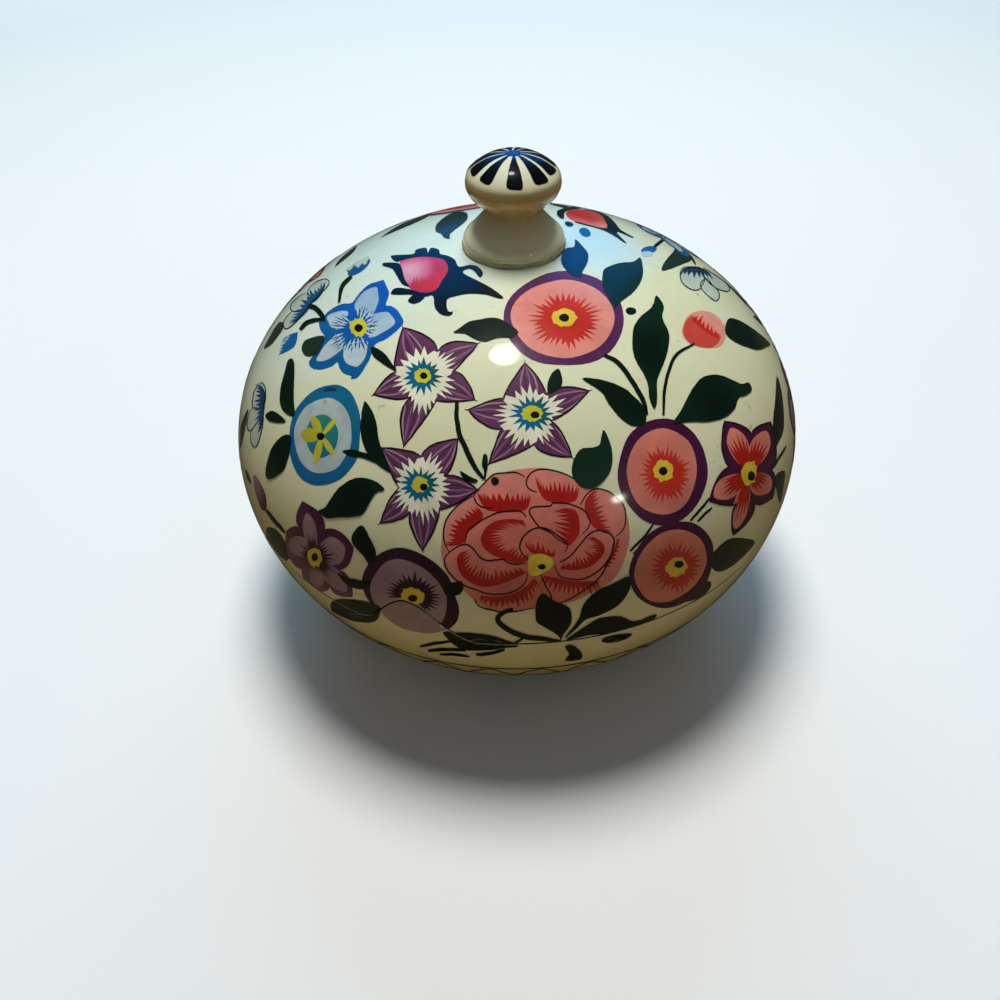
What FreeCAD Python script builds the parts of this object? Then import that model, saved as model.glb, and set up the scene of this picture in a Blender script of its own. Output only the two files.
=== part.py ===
# Round lidded box of painted papier mache with a turned wooden knob
import FreeCAD, Part
import math
import os

os.makedirs("parts", exist_ok=True)
Vector = FreeCAD.Vector

# The globe: two half ovals that meet at the equator, cut to a flat foot underneath
body_radius = 55.0
equator_height = 37.0
dome_rise = 40.0
foot_radius = 29.7
foot_edge_round = 6.0

# The pulp wall and the lacquered paper inside it
shell_wall = 2.6
lining_wall = 0.5

# The seam between base and lid, with the raised tab that shows how the lid goes on
seam_height = 31.3
seam_gap = 0.3
tab_height = 7.6
tab_left_run = 10.0
tab_right_run = 12.5
tab_turn = -20.8
tab_flank_steps = 6

# The collar glued inside the base, which the lid slips over
collar_wall = 1.8
collar_rise = 9.2
collar_depth = 8.0
collar_clearance = 0.35
collar_edge_round = 0.6

# The turned knob, measured from the crown of the lid
knob_height = 16.0
knob_foot_radius = 9.0
knob_foot_rise = 0.6
knob_foot_sink = 1.2
knob_neck_radius = 4.7
knob_neck_rise = 6.6
knob_cap_radius = 8.25
knob_cap_rise = 11.6

# The tenon under the knob and the glue bead round its foot
tenon_radius = 3.0
tenon_clearance = 0.1
tenon_proud = 1.0
tenon_edge_round = 0.5
bead_radius = 0.8

# How far cutting tools run past what they cut, and how near counts as level with
overrun = 2.0
hair = 0.01

UP = Vector(0, 0, 1)
CENTRE = Vector(0, 0, 0)
FULL_TURN = 360
QUARTER_ARC = math.pi / 2
crown_height = equator_height + dome_rise
bowl_drop = equator_height / math.sqrt(1 - (foot_radius / body_radius) ** 2)

# Radius and height of each point of the knob, as shares of the sizes they lie between
foot_flare_shares = ((0.91, 0.17), (0.60, 0.40), (0.22, 0.72))
cap_under_shares = ((0.33, 0.24), (0.74, 0.53))
cap_top_shares = ((0.93, 0.29), (0.60, 0.735), (0.28, 0.935))


def between(low, high, share):
    """The value that lies this share of the way from low to high."""
    return low + (high - low) * share


def oval_arc(radius, rise, first, last):
    """Part of a quarter oval about the equator, by its angle from the rim towards the pole."""
    middle = Vector(0, 0, equator_height)
    side = Vector(radius, 0, equator_height)
    pole = Vector(0, 0, equator_height + rise)
    if abs(rise) <= radius:
        return Part.ArcOfEllipse(Part.Ellipse(side, pole, middle), first, last).toShape()
    oval = Part.Ellipse(pole, side, middle)
    return Part.ArcOfEllipse(oval, QUARTER_ARC - last, QUARTER_ARC - first).toShape()


def oval_radius(radius, rise, height):
    """How far the oval's surface is from the axis at a height."""
    share = (height - equator_height) / rise
    return radius * math.sqrt(1 - share * share)


def oval_height(radius, rise, out):
    """How high the oval's surface is at a distance from the axis."""
    share = out / radius
    return equator_height + rise * math.sqrt(1 - share * share)


def revolved(edges):
    """The solid that closed edges in the XZ plane sweep about the axis."""
    wire = Part.Wire(Part.__sortEdges__(edges))
    return Part.makeSolid(Part.Face(wire).revolve(CENTRE, UP, FULL_TURN).Shells[0])


def globe(inset, floor):
    """The whole box as one solid, its surface moved in by an inset and cut flat at the floor."""
    radius = body_radius - inset
    rise = dome_rise - inset
    drop = bowl_drop - inset
    floor_angle = math.asin((equator_height - floor) / drop)
    floor_radius = oval_radius(radius, drop, floor)
    edges = [
        oval_arc(radius, rise, 0, QUARTER_ARC),
        oval_arc(radius, -drop, 0, floor_angle),
        Part.makeLine(Vector(0, 0, floor), Vector(floor_radius, 0, floor)),
        Part.makeLine(Vector(0, 0, floor), Vector(0, 0, equator_height + rise)),
    ]
    return revolved(edges)


def rounded(solid, radius, height):
    """The solid with its level round edges at this height filleted."""
    chosen = [
        edge
        for edge in solid.Edges
        if edge.Closed and max(abs(edge.BoundBox.ZMin - height), abs(edge.BoundBox.ZMax - height)) < hair
    ]
    return solid.makeFillet(radius, chosen)


def tab_flank(run, gap):
    """One side of the tab from its foot to its peak, moved outward by the gap."""
    points = []
    for step in range(tab_flank_steps + 1):
        angle = math.pi * (1 - step / tab_flank_steps)
        slope = tab_height * math.pi * math.sin(angle) / 2 / abs(run)
        length = math.hypot(1, slope)
        height = between(0, tab_height, (1 + math.cos(angle)) / 2)
        along = run * angle / math.pi + math.copysign(gap * slope / length, run)
        points.append(Vector(along, 0, seam_height + height + gap / length))
    return points


def tab(gap):
    """The arched tab as a bar through the wall, at its place round the box."""
    left = tab_flank(-tab_left_run, gap)
    right = tab_flank(tab_right_run, gap)
    right.reverse()
    outline = left + right[1:]
    arch = Part.BSplineCurve()
    arch.interpolate(outline)
    low = seam_height - overrun
    corners = [outline[-1], Vector(outline[-1].x, 0, low), Vector(outline[0].x, 0, low), outline[0]]
    wire = Part.Wire([arch.toShape()] + Part.makePolygon(corners).Edges)
    bar = Part.Face(wire).extrude(Vector(0, equator_height + overrun, 0))
    bar.translate(Vector(0, -body_radius - overrun, 0))
    bar.rotate(CENTRE, UP, tab_turn)
    return bar


def under_seam(gap):
    """All the space that belongs to the base, with its upper bound moved up by the gap."""
    drum = Part.makeCylinder(body_radius + overrun, seam_height + gap + overrun, Vector(0, 0, -overrun))
    return drum.fuse(tab(gap)).removeSplitter()


def knob_spline(start, points, end, first_way, last_way):
    """A smooth run of the knob's outline with set directions at both ends."""
    curve = Part.BSplineCurve()
    curve.interpolate(Points=[start] + points + [end], InitialTangent=first_way, FinalTangent=last_way)
    return curve.toShape()


def knob_outline():
    """The knob's half section: a flared foot, a waist and a mushroom cap."""
    foot = Vector(knob_foot_radius, 0, crown_height + knob_foot_rise)
    neck = Vector(knob_neck_radius, 0, crown_height + knob_neck_rise)
    cap = Vector(knob_cap_radius, 0, crown_height + knob_cap_rise)
    top = Vector(0, 0, crown_height + knob_height)
    bottom = Vector(knob_foot_radius, 0, crown_height - knob_foot_sink)
    flare = [
        Vector(between(neck.x, foot.x, out), 0, between(foot.z, neck.z, up))
        for out, up in foot_flare_shares
    ]
    under = [
        Vector(between(neck.x, cap.x, out), 0, between(neck.z, cap.z, up))
        for out, up in cap_under_shares
    ]
    over = [
        Vector(cap.x * out, 0, between(cap.z, top.z, up)) for out, up in cap_top_shares
    ]
    return [
        Part.makeLine(Vector(0, 0, bottom.z), bottom),
        Part.makeLine(bottom, foot),
        knob_spline(foot, flare, neck, UP, UP),
        knob_spline(neck, under, cap, UP, UP),
        knob_spline(cap, over, top, UP, Vector(-1, 0, 0)),
        Part.makeLine(top, Vector(0, 0, bottom.z)),
    ]


def make_tenon():
    """The round peg that goes through the lid."""
    low = crown_height - shell_wall - lining_wall - tenon_proud
    peg = Part.makeCylinder(tenon_radius, crown_height - low, Vector(0, 0, low))
    return rounded(peg, tenon_edge_round, low)


def make_collar(lining):
    """The band inside the rim: it lies against the bowl and stands up straight inside the lid."""
    lid_bore = oval_radius(body_radius - lining, bowl_drop - lining, seam_height + seam_gap)
    outer = lid_bore - collar_clearance
    low = seam_height - collar_depth
    height = collar_depth + collar_rise
    post = Part.makeCylinder(outer, height, Vector(0, 0, low))
    bore = Part.makeCylinder(outer - collar_wall, height + 2 * overrun, Vector(0, 0, low - overrun))
    band = post.common(globe(lining, lining))
    band = band.cut(bore.common(globe(lining + collar_wall, lining)))
    return rounded(band, collar_edge_round, low + height)


def make_knob(lid_top):
    """The turned knob: its foot sits on the dome and its tenon goes through the lid."""
    turned = revolved(knob_outline()).cut(lid_top)
    return turned.fuse(make_tenon()).removeSplitter()


def make_bead(knob, lid_top):
    """The bead of glue in the corner between the knob's foot and the dome."""
    height = oval_height(body_radius, dome_rise, knob_foot_radius)
    ring = Part.makeTorus(knob_foot_radius, bead_radius, Vector(0, 0, height))
    return ring.cut(knob).cut(lid_top)


def make_nodes():
    """Each separate piece of the box by its name."""
    lining_depth = shell_wall + lining_wall
    outside = rounded(globe(0, 0), foot_edge_round, 0)
    shell = outside.cut(globe(shell_wall, shell_wall))
    lining = globe(shell_wall, shell_wall).cut(globe(lining_depth, lining_depth))
    base_space = under_seam(0)
    base_and_gap = under_seam(seam_gap)
    tenon_hole = Part.makeCylinder(tenon_radius + tenon_clearance, dome_rise, Vector(0, 0, equator_height))
    knob = make_knob(outside)
    return {
        "base_shell": shell.common(base_space),
        "base_lining": lining.common(base_space),
        "locating_collar": make_collar(lining_depth),
        "lid_shell": shell.cut(base_and_gap).cut(tenon_hole),
        "lid_lining": lining.cut(base_and_gap).cut(tenon_hole),
        "knob": knob,
        "knob_bead": make_bead(knob, outside),
    }


for name, shape in make_nodes().items():
    shape.exportStep("parts/" + name + ".step")
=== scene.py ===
# Round papier mache box: smooth varnished shells, brush-painted flowers, turned knob
import bmesh
import bpy
import math
import random
from mathutils import Matrix, Vector, geometry, noise
from mathutils.bvhtree import BVHTree


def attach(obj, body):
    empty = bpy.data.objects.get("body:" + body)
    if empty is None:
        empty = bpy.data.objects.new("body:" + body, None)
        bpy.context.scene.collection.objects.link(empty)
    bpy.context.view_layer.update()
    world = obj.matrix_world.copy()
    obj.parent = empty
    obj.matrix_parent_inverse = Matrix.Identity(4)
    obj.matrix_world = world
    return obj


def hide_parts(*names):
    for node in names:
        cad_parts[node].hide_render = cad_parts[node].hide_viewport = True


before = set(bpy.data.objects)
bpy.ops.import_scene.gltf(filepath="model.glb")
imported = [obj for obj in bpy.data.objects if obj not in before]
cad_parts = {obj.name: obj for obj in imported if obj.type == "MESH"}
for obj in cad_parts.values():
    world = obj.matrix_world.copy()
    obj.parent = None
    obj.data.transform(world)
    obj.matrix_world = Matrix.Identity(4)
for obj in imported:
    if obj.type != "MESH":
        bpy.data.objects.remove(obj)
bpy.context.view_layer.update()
noise.seed_set(1)  # every run then draws the same unsteady outlines
MM = 0.001
TURN = 2 * math.pi

# The body: two ovals that meet at the equator
BODY_RADIUS = 55.0 * MM
EQUATOR = 37.0 * MM
DOME_RISE = 40.0 * MM
FOOT_RADIUS = 29.7 * MM
BOWL_DROP = EQUATOR / math.sqrt(1 - (FOOT_RADIUS / BODY_RADIUS) ** 2)
FOOT_EDGE = 1.5 * MM
SHELL_WALL = 2.6 * MM
SKIN = 0.2 * MM

# The seam with its tab, and the hole for the knob's tenon
SEAM_HEIGHT = 31.3 * MM
SEAM_GAP = 0.3 * MM
RIM_ROUND = 0.2 * MM
TAB_HEIGHT = 7.6 * MM
TAB_LEFT = 10.0 * MM
TAB_RIGHT = 12.5 * MM
TAB_AZIMUTH = math.radians(-90 - 20.8)
LID_FADE = 60.0 * MM
BASE_FADE = 17.0 * MM
TENON_HOLE = 3.1 * MM

# How finely the shells are divided
ROUND_STEPS = 360
OUTER_ROWS = 80
INNER_ROWS = 20
RIM_STEPS = 4
FOOT_RINGS = (0, 0.3, 0.6, 0.85)
KNOB_STEPS = 144
BEAD_STEPS = 10

# The photo's camera, with its offsets in body radii
FRAME_PX = 1000
FOCAL_PX = 1050
SENSOR = 36.0
PITCH = math.radians(41.0)
ROLL = math.radians(-1.31)
DISTANCE = 3.86 * BODY_RADIUS
ASIDE = 0.057 * BODY_RADIUS
ABOVE = 0.288 * BODY_RADIUS

# The paint: one pixel of the photo on the body, the height of a coat, the spacing of its cuts (in
# pixels, and on the knob and the band in millimetres), and what counts as one place
PIXEL = 0.198 * MM
COAT = 0.011 * MM
CUT_PX = 5.0
KNOB_CUT = 0.9
BAND_CUT = 1.2
WELD_PX = 0.02
WELD = 0.001 * MM
SLIVER = 0.002 * MM

# What the brushes' unsteadiness is drawn from
BAND_SEED = 4
SEAM_SEED = 5
KNOB_SEED = 8
ALL_ROUND_SEED = 50

# Pigments, as screen colours
CREAM = (229, 233, 205)
LEAF = (3, 27, 15)
LEAF_TEAL = (6, 42, 42)
LEAF_BLUE = (2, 56, 104)
LEAF_GREEN = (10, 44, 28)
LEAF_OLIVE = (34, 52, 38)
LEAF_LIGHT = (20, 52, 34)
INK = (20, 8, 12)
NAVY = (2, 22, 34)
PURPLE = (121, 66, 112)
PLUM = (78, 21, 66)
SALMON = (236, 142, 132)
SALMON_DEEP = (216, 116, 100)
RED = (204, 40, 30)
RED_DEEP = (182, 24, 14)
YELLOW = (232, 200, 62)
LEMON = (210, 206, 62)
TEAL = (8, 108, 158)
GREEN = (14, 84, 44)
BLUE = (8, 98, 162)
BLUE_BRIGHT = (18, 96, 180)
BLUE_DEEP = (4, 92, 200)
BLUE_PALE = (190, 212, 226)
MINT = (200, 216, 204)
MIST = (180, 196, 200)
SEA_GREEN = (48, 134, 120)
LILAC = (160, 130, 148)
PINK = (196, 40, 86)
PINK_PALE = (232, 168, 190)
WHITE = (240, 240, 216)
PLUM_LIGHT = (98, 44, 98)
OCHRE = (120, 110, 20)

# The ground's tones: low on the body (partly yellowed varnish, partly painted shade and warm bounce light),
# stained, fresh, specked and scuffed
CREAM_LOW_YELLOWED_AND_SHADED = (218, 208, 164)
CREAM_STAINED = (208, 210, 162)
CREAM_FRESH = (238, 242, 216)
CREAM_SPECKED = (150, 140, 104)
CREAM_SCUFFED = (158, 152, 128)

# Painted light on the ground: painted bluish window light towards its upper back side (its way and
# span), and a painted shadow of the knob, lit blue by the window, round one pixel (its reach). Both
# tones multiply the ground, and a number over 255 brightens it.
PAINTED_WINDOW_LIGHT = (236, 254, 288)
PAINTED_WINDOW_LIGHT_WAY = (-0.4, 0.45, 0.8)
PAINTED_WINDOW_LIGHT_SPAN = (0.047, 0.07)
PAINTED_KNOB_SHADOW = (208, 247, 304)
PAINTED_KNOB_SHADOW_PIXEL = (594, 244)
PAINTED_KNOB_SHADOW_REACH = (0.004, 0.014)

# The brush's thin and full places, the lacquer, the knob and the glue
PAINT_THIN = (226, 226, 226)
PAINT_FULL = (255, 255, 255)
LACQUER_DARK = (14, 13, 13)
LACQUER_LIGHT = (38, 34, 31)
# Knob foot painted brighter (painted light under the cap); waist darker and yellower (yellowed varnish and
# painted shade)
KNOB_FOOT_PAINTED_LIGHT = (255, 251, 216)
KNOB_WAIST_YELLOWED_AND_SHADED = (190, 164, 100)
KNOB_TOP = (228, 232, 212)
KNOB_STAINED = (200, 194, 150)
KNOB_WAIST_SPAN = (0.0795, 0.0838)
KNOB_TOP_SPAN = (0.088, 0.0912)
STRIPE_BLUE = (14, 50, 124)
STRIPE_BLACK = (4, 6, 12)
STRIPE_MIDDLE = (16, 66, 146)
GLUE_DARK = (170, 160, 108)
GLUE_PALE = (204, 194, 140)


def linear(colour):
    """A screen colour as the light values that shaders take."""
    shares = [c / 255 for c in colour]
    return [s / 12.92 if s <= 0.04045 else ((s + 0.055) / 1.055) ** 2.4 for s in shares]


def mixed(first, second, share):
    """The colour that lies this share of the way from one to the other."""
    return tuple(a + (b - a) * share for a, b in zip(first, second))


# The body's surface


def rise_of(height, inset=SKIN):
    """The upright half axis of the oval that a height belongs to."""
    return (DOME_RISE if height >= EQUATOR else BOWL_DROP) - inset


def oval_out(height, inset=SKIN):
    """How far out the body's wall is at a height."""
    share = (height - EQUATOR) / rise_of(height, inset)
    return (BODY_RADIUS - inset) * math.sqrt(max(0, 1 - share * share))


def wall_point(azimuth, height):
    """A place on the body from its azimuth and height."""
    out = oval_out(height)
    return Vector((out * math.cos(azimuth), out * math.sin(azimuth), height))


def surface_normal(point):
    """The body's outward direction at a place on it."""
    across = (BODY_RADIUS - SKIN) ** 2
    upright = rise_of(point.z) ** 2
    return Vector((point.x / across, point.y / across, (point.z - EQUATOR) / upright)).normalized()


def surface_hit(origin, ray):
    """Where a ray meets the body, or the rim's place nearest to the ray where it misses."""
    middle = Vector((0, 0, EQUATOR))
    for side, rise in ((1, DOME_RISE - SKIN), (-1, BOWL_DROP - SKIN)):
        axes = Vector((BODY_RADIUS - SKIN, BODY_RADIUS - SKIN, rise))
        start = Vector(((origin - middle)[i] / axes[i] for i in range(3)))
        way = Vector((ray[i] / axes[i] for i in range(3)))
        half = start.dot(way)
        inside = half * half - way.dot(way) * (start.dot(start) - 1)
        unit = (start - way * (half + math.sqrt(max(inside, 0))) / way.dot(way)).normalized()
        if unit.z * side >= 0:
            break
    return Vector((unit[i] * axes[i] for i in range(3))) + middle


def seam_lift(azimuth):
    """How far the seam stands above its plain height: the tab on the base rises there."""
    along = BODY_RADIUS * math.remainder(azimuth - TAB_AZIMUTH, TURN)
    run = TAB_LEFT if along < 0 else TAB_RIGHT
    if abs(along) >= run:
        return 0
    return TAB_HEIGHT * (1 + math.cos(math.pi * along / run)) / 2


# The camera's axes and the rays through the photo's pixels

BACK = Vector((0, -math.cos(PITCH), math.sin(PITCH)))
LEVEL = Vector((1, 0, 0))
RIGHT = math.cos(ROLL) * LEVEL + math.sin(ROLL) * BACK.cross(LEVEL)
UP = BACK.cross(RIGHT)
EYE = Vector((0, 0, EQUATOR)) + BACK * DISTANCE - RIGHT * ASIDE - UP * ABOVE


def seen(point):
    """The place on the body that the photo shows at a pixel."""
    middle = FRAME_PX / 2
    return surface_hit(EYE, (RIGHT * (point[0] - middle) + UP * (middle - point[1])) / FOCAL_PX - BACK)


class Patch:
    """A flat frame that touches the body, on which paint is drawn and cut before it is wrapped."""

    def __init__(self, azimuth, height, turn=0, size=1.0, mirror=1):
        self.centre = wall_point(azimuth, height)
        self.normal = surface_normal(self.centre)
        east = Vector((-math.sin(azimuth), math.cos(azimuth), 0))
        north = self.normal.cross(east)
        turn = math.radians(turn)
        self.across = (east * math.cos(turn) - north * math.sin(turn)) * PIXEL * size * mirror
        self.down = -(east * math.sin(turn) + north * math.cos(turn)) * PIXEL * size

    def flat(self, place):
        """Where a place on the body falls in the frame."""
        arm = place - self.centre
        return Vector((arm.dot(axis) / axis.dot(axis) for axis in (self.across, self.down)))

    def cast(self, x, y):
        """The place on the body under a point of the frame."""
        above = self.centre + self.across * x + self.down * y + self.normal * BODY_RADIUS
        return surface_hit(above, -self.normal)


def on_photo(x, y):
    """Lays paint where the photo shows it: the frame, and how pixels come into it."""
    place = seen((x, y))
    patch = Patch(math.atan2(place.y, place.x), place.z)
    return patch.cast, lambda p: patch.flat(seen(p))


def elsewhere(origin, azimuth, height, turn=0, size=1.0, mirror=1):
    """Lays paint drawn round a pixel at some other place of the body."""
    patch = Patch(math.radians(azimuth), height * MM, turn, size, mirror)
    return patch.cast, lambda p: p - Vector(origin)


def round_bowl(x, y):
    """A frame that runs round the bowl, in millimetres along and up."""
    return wall_point(x * MM / BAND_RADIUS, y * MM)


# Outlines on the flat, in pixels


def smooth(points, closed=True, steps=5):
    """A curve through the points; a point given twice stays a sharp corner."""
    points = [Vector(p) for p in points]
    count = len(points)
    curve = []
    for i in range(count if closed else count - 1):
        around = range(i - 1, i + 3)
        a, b, c, d = [points[j % count if closed else max(0, min(count - 1, j))] for j in around]
        for step in range(steps):
            t = step / steps
            curve.append((a * (2 * t * t - t - t ** 3) + b * (2 - 5 * t * t + 3 * t ** 3)
                          + c * (t + 4 * t * t - 3 * t ** 3) + d * (t ** 3 - t * t)) / 2)
    return curve if closed else curve + [points[-1]]


def shaky(points, amount=0.6, pace=0.11):
    """The points moved a little, as an unsteady brush does."""
    return [p + noise.noise_vector(Vector((p.x * pace, p.y * pace, 3.7))).xy * amount for p in points]


def turned(centre, x, y, turn):
    """A place beside a centre, in a frame turned clockwise by degrees."""
    turn = math.radians(turn)
    return Vector(centre) + Vector((x * math.cos(turn) - y * math.sin(turn),
                                    x * math.sin(turn) + y * math.cos(turn)))


def oval(centre, wide, tall, turn=0, count=36, shake=0.03):
    """A hand-drawn oval."""
    angles = [TURN * i / count for i in range(count)]
    ring = [turned(centre, wide * math.cos(a), tall * math.sin(a), turn) for a in angles]
    return shaky(ring, shake * (wide + tall), 2.6 / (wide + tall))


def spiky(centre, wide, tall, count, depth, turn, rng):
    """An oval with a fringe of pointed brush strokes; depth is the fringe's share of the radius."""
    ring = []
    for i in range(2 * count):
        angle = TURN * (i + rng.uniform(-0.3, 0.3)) / (2 * count)
        share = (1 - depth) * rng.uniform(0.88, 1.1) if i % 2 else rng.uniform(0.82, 1.04)
        ring.append(turned(centre, wide * share * math.cos(angle), tall * share * math.sin(angle), turn))
    return ring


def ribbon(points, width, start=0.35, end=0.15):
    """The outline of a brush stroke along a curve, thinner at its start and end."""
    left, right = [], []
    last = len(points) - 1
    for i, p in enumerate(points):
        way = (points[min(last, i + 1)] - points[max(0, i - 1)]).normalized()
        t = i / last
        swell = min(1, start + (1 - start) * t * 4, end + (1 - end) * (1 - t) * 4)
        half = Vector((-way.y, way.x)) * width * swell / 2
        left.append(p + half)
        right.append(p - half)
    return left + right[::-1]


def comb(spine, point, body, tooth, count, rng, taper=0.5, away=False):
    """Paint along a spine with pointed teeth, which lean towards a point or away from it."""
    spine = [Vector(p) for p in spine]
    point = Vector(point)
    last = len(spine) - 1

    def reach(t, length):
        i = min(last - 1, int(t * last))
        foot = spine[i].lerp(spine[i + 1], t * last - i)
        way = foot - point if away else point - foot
        length *= 1 - taper * abs(2 * t - 1) ** 2
        return foot + way.normalized() * (length if away else min(length, way.length))

    edge = []
    for i in range(count):
        edge.append(reach((i + 0.05) / count, body))
        edge.append(reach((i + rng.uniform(0.35, 0.65)) / count, body + tooth * rng.uniform(0.55, 1.2)))
    return spine + edge[::-1]


def petal_sides(left, tip, right, bulge):
    """The two sides of a petal that swells from its notches and draws in to its tip."""
    sides = []
    for foot, bow in ((left, bulge[0]), (right, -bulge[1])):
        foot = Vector(foot)
        way = Vector(tip) - foot
        out = Vector((way.y, -way.x)) * bow
        sides.append(geometry.interpolate_bezier(
            foot, foot + way * 0.25 + out, foot + way * 0.72 + out * 0.45, Vector(tip), 9))
    return sides


def burst(centre, left, tip, right, reach, count, rng, waist=0.6):
    """A pale burst in a petal: strokes that fan out from the flower's middle between two notches."""
    arms = [Vector(p) - centre for p in (left, tip, right)]
    middle = math.atan2(arms[1].y, arms[1].x)
    spread = [math.remainder(math.atan2(arm.y, arm.x) - middle, TURN) for arm in arms]
    outline = [centre]

    def place(share, part):
        angle = middle + spread[0] + (spread[2] - spread[0]) * share
        side = arms[0].length if share < 0.5 else arms[2].length
        swell = 1 - abs(2 * share - 1) ** 1.6
        radius = (side * 0.94 * (1 - swell) + arms[1].length * reach * swell) * part
        return centre + Vector((math.cos(angle), math.sin(angle))) * radius

    for i in range(count):
        outline.append(place(i / count, waist + (1 - waist) * abs(2 * i / count - 1) ** 4))
        outline.append(place((i + rng.uniform(0.35, 0.65)) / count, rng.uniform(0.9, 1.06)))
    outline.append(place(1, 1))
    return outline


def leaf(base, tip, width, bend=0.0):
    """A leaf's outline from its base to its tip."""
    base, tip = Vector(base), Vector(tip)
    way = tip - base
    side = Vector((-way.y, way.x)).normalized()

    def place(along, out):
        return base + way * along + side * (width * out + way.length * bend * 4 * along * (1 - along))

    return smooth([
        base, place(0.2, 0.3), place(0.45, 0.5), place(0.75, 0.3), tip, tip, place(0.75, -0.3),
        place(0.45, -0.5), place(0.2, -0.3), base,
    ])


def petal(base, tip, width):
    """A petal's inner face: it swells towards a rounded tip."""
    base, tip = Vector(base), Vector(tip)
    way = tip - base
    side = Vector((-way.y, way.x)).normalized() * width
    rows = ((0.2, 0.32), (0.45, 0.49), (0.7, 0.49), (0.9, 0.28))
    near = [base + way * along + side * out for along, out in rows]
    far = [base + way * along - side * out for along, out in rows[::-1]]
    return smooth([base] + near + [tip] + far)


# The brush: it keeps shapes on the flat and wraps them on the body


class Brush:
    """One painted motif's shapes, from the lowest coat to the highest."""

    def __init__(self, seed):
        self.shapes = []
        self.rng = random.Random(seed)

    def fill(self, outline, colour, coat=0, second=None, centre=None, reach=1.0):
        """A filled shape, which may run to a second colour away from a centre."""
        self.shapes.append(([Vector(p) for p in outline], colour, coat, second, centre, reach))

    def stroke(self, points, width, colour, coat=0, start=0.35, end=0.15):
        """A brush stroke along a curve."""
        self.fill(ribbon(shaky(smooth(points, closed=False)), width, start, end), colour, coat)

    def dot(self, centre, wide, tall, colour, coat=0):
        """A dab of paint."""
        self.fill(oval(centre, wide, tall, count=12, shake=0.06), colour, coat)

    def lay(self, name, body, cast, flat=Vector, base=0, cuts=CUT_PX, normal=surface_normal, keep=None):
        """Wraps the shapes on the body as one piece of paint; keep may move places back over an edge."""
        bm = bmesh.new()
        for index, shape in enumerate(self.shapes):
            bm.faces.new([bm.verts.new((*flat(p), index)) for p in shape[0]])
        bmesh.ops.remove_doubles(bm, verts=bm.verts[:], dist=WELD_PX)
        bmesh.ops.triangulate(bm, faces=bm.faces[:], ngon_method="EAR_CLIP")
        for axis in (0, 1):
            cut_across(bm, axis, cuts)
        tint = bm.verts.layers.float_color.new("tint")
        for v in bm.verts:
            shape, colour, coat, second, centre, reach = self.shapes[round(v.co.z)]
            if second:
                share = min(1, (v.co.xy - flat(Vector(centre))).length / reach)
                colour = mixed(colour, second, share * share)
            v[tint] = (*linear(colour), 1)
            point = cast(v.co.x, v.co.y)
            if keep:
                point = keep(point)
            v.co = point + normal(point) * (base + coat) * COAT
        bmesh.ops.dissolve_degenerate(bm, edges=bm.edges[:], dist=SLIVER)
        for face in bm.faces:
            face.smooth = True
            face.normal_update()
            if face.normal.dot(normal(face.calc_center_median())) < 0:
                face.normal_flip()
        piece = made_object(name, bm, brush_paint())
        piece.data.normals_split_custom_set_from_vertices([normal(v.co) for v in piece.data.vertices])
        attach(piece, body)
        return piece


def cut_across(bm, axis, spacing):
    """Cuts shapes on the flat into strips, so that they can bend with the body."""
    places = [v.co[axis] for v in bm.verts]
    for line in range(math.floor(min(places) / spacing) + 1, math.ceil(max(places) / spacing)):
        place, way = Vector((0, 0, 0)), Vector((0, 0, 0))
        place[axis], way[axis] = line * spacing, 1
        bmesh.ops.bisect_plane(bm, geom=bm.verts[:] + bm.edges[:] + bm.faces[:], dist=0.0001, plane_co=place,
                               plane_no=way)


def made_object(name, bm, material):
    """An object of the finished mesh, in the scene."""
    mesh = bpy.data.meshes.new(name)
    bm.to_mesh(mesh)
    bm.free()
    mesh.materials.append(material)
    piece = bpy.data.objects.new(name, mesh)
    bpy.context.scene.collection.objects.link(piece)
    return piece


def above_seam(point):
    """Holds paint on the lid's side of the seam."""
    azimuth = math.atan2(point.y, point.x)
    low = SEAM_HEIGHT + seam_lift(azimuth) + SEAM_GAP + RIM_ROUND / 2
    return point if point.z >= low else wall_point(azimuth, low)


def below_seam(point):
    """Holds paint on the base's side of the seam."""
    azimuth = math.atan2(point.y, point.x)
    high = SEAM_HEIGHT + seam_lift(azimuth) - RIM_ROUND / 2
    return point if point.z <= high else wall_point(azimuth, high)


# Materials


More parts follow.
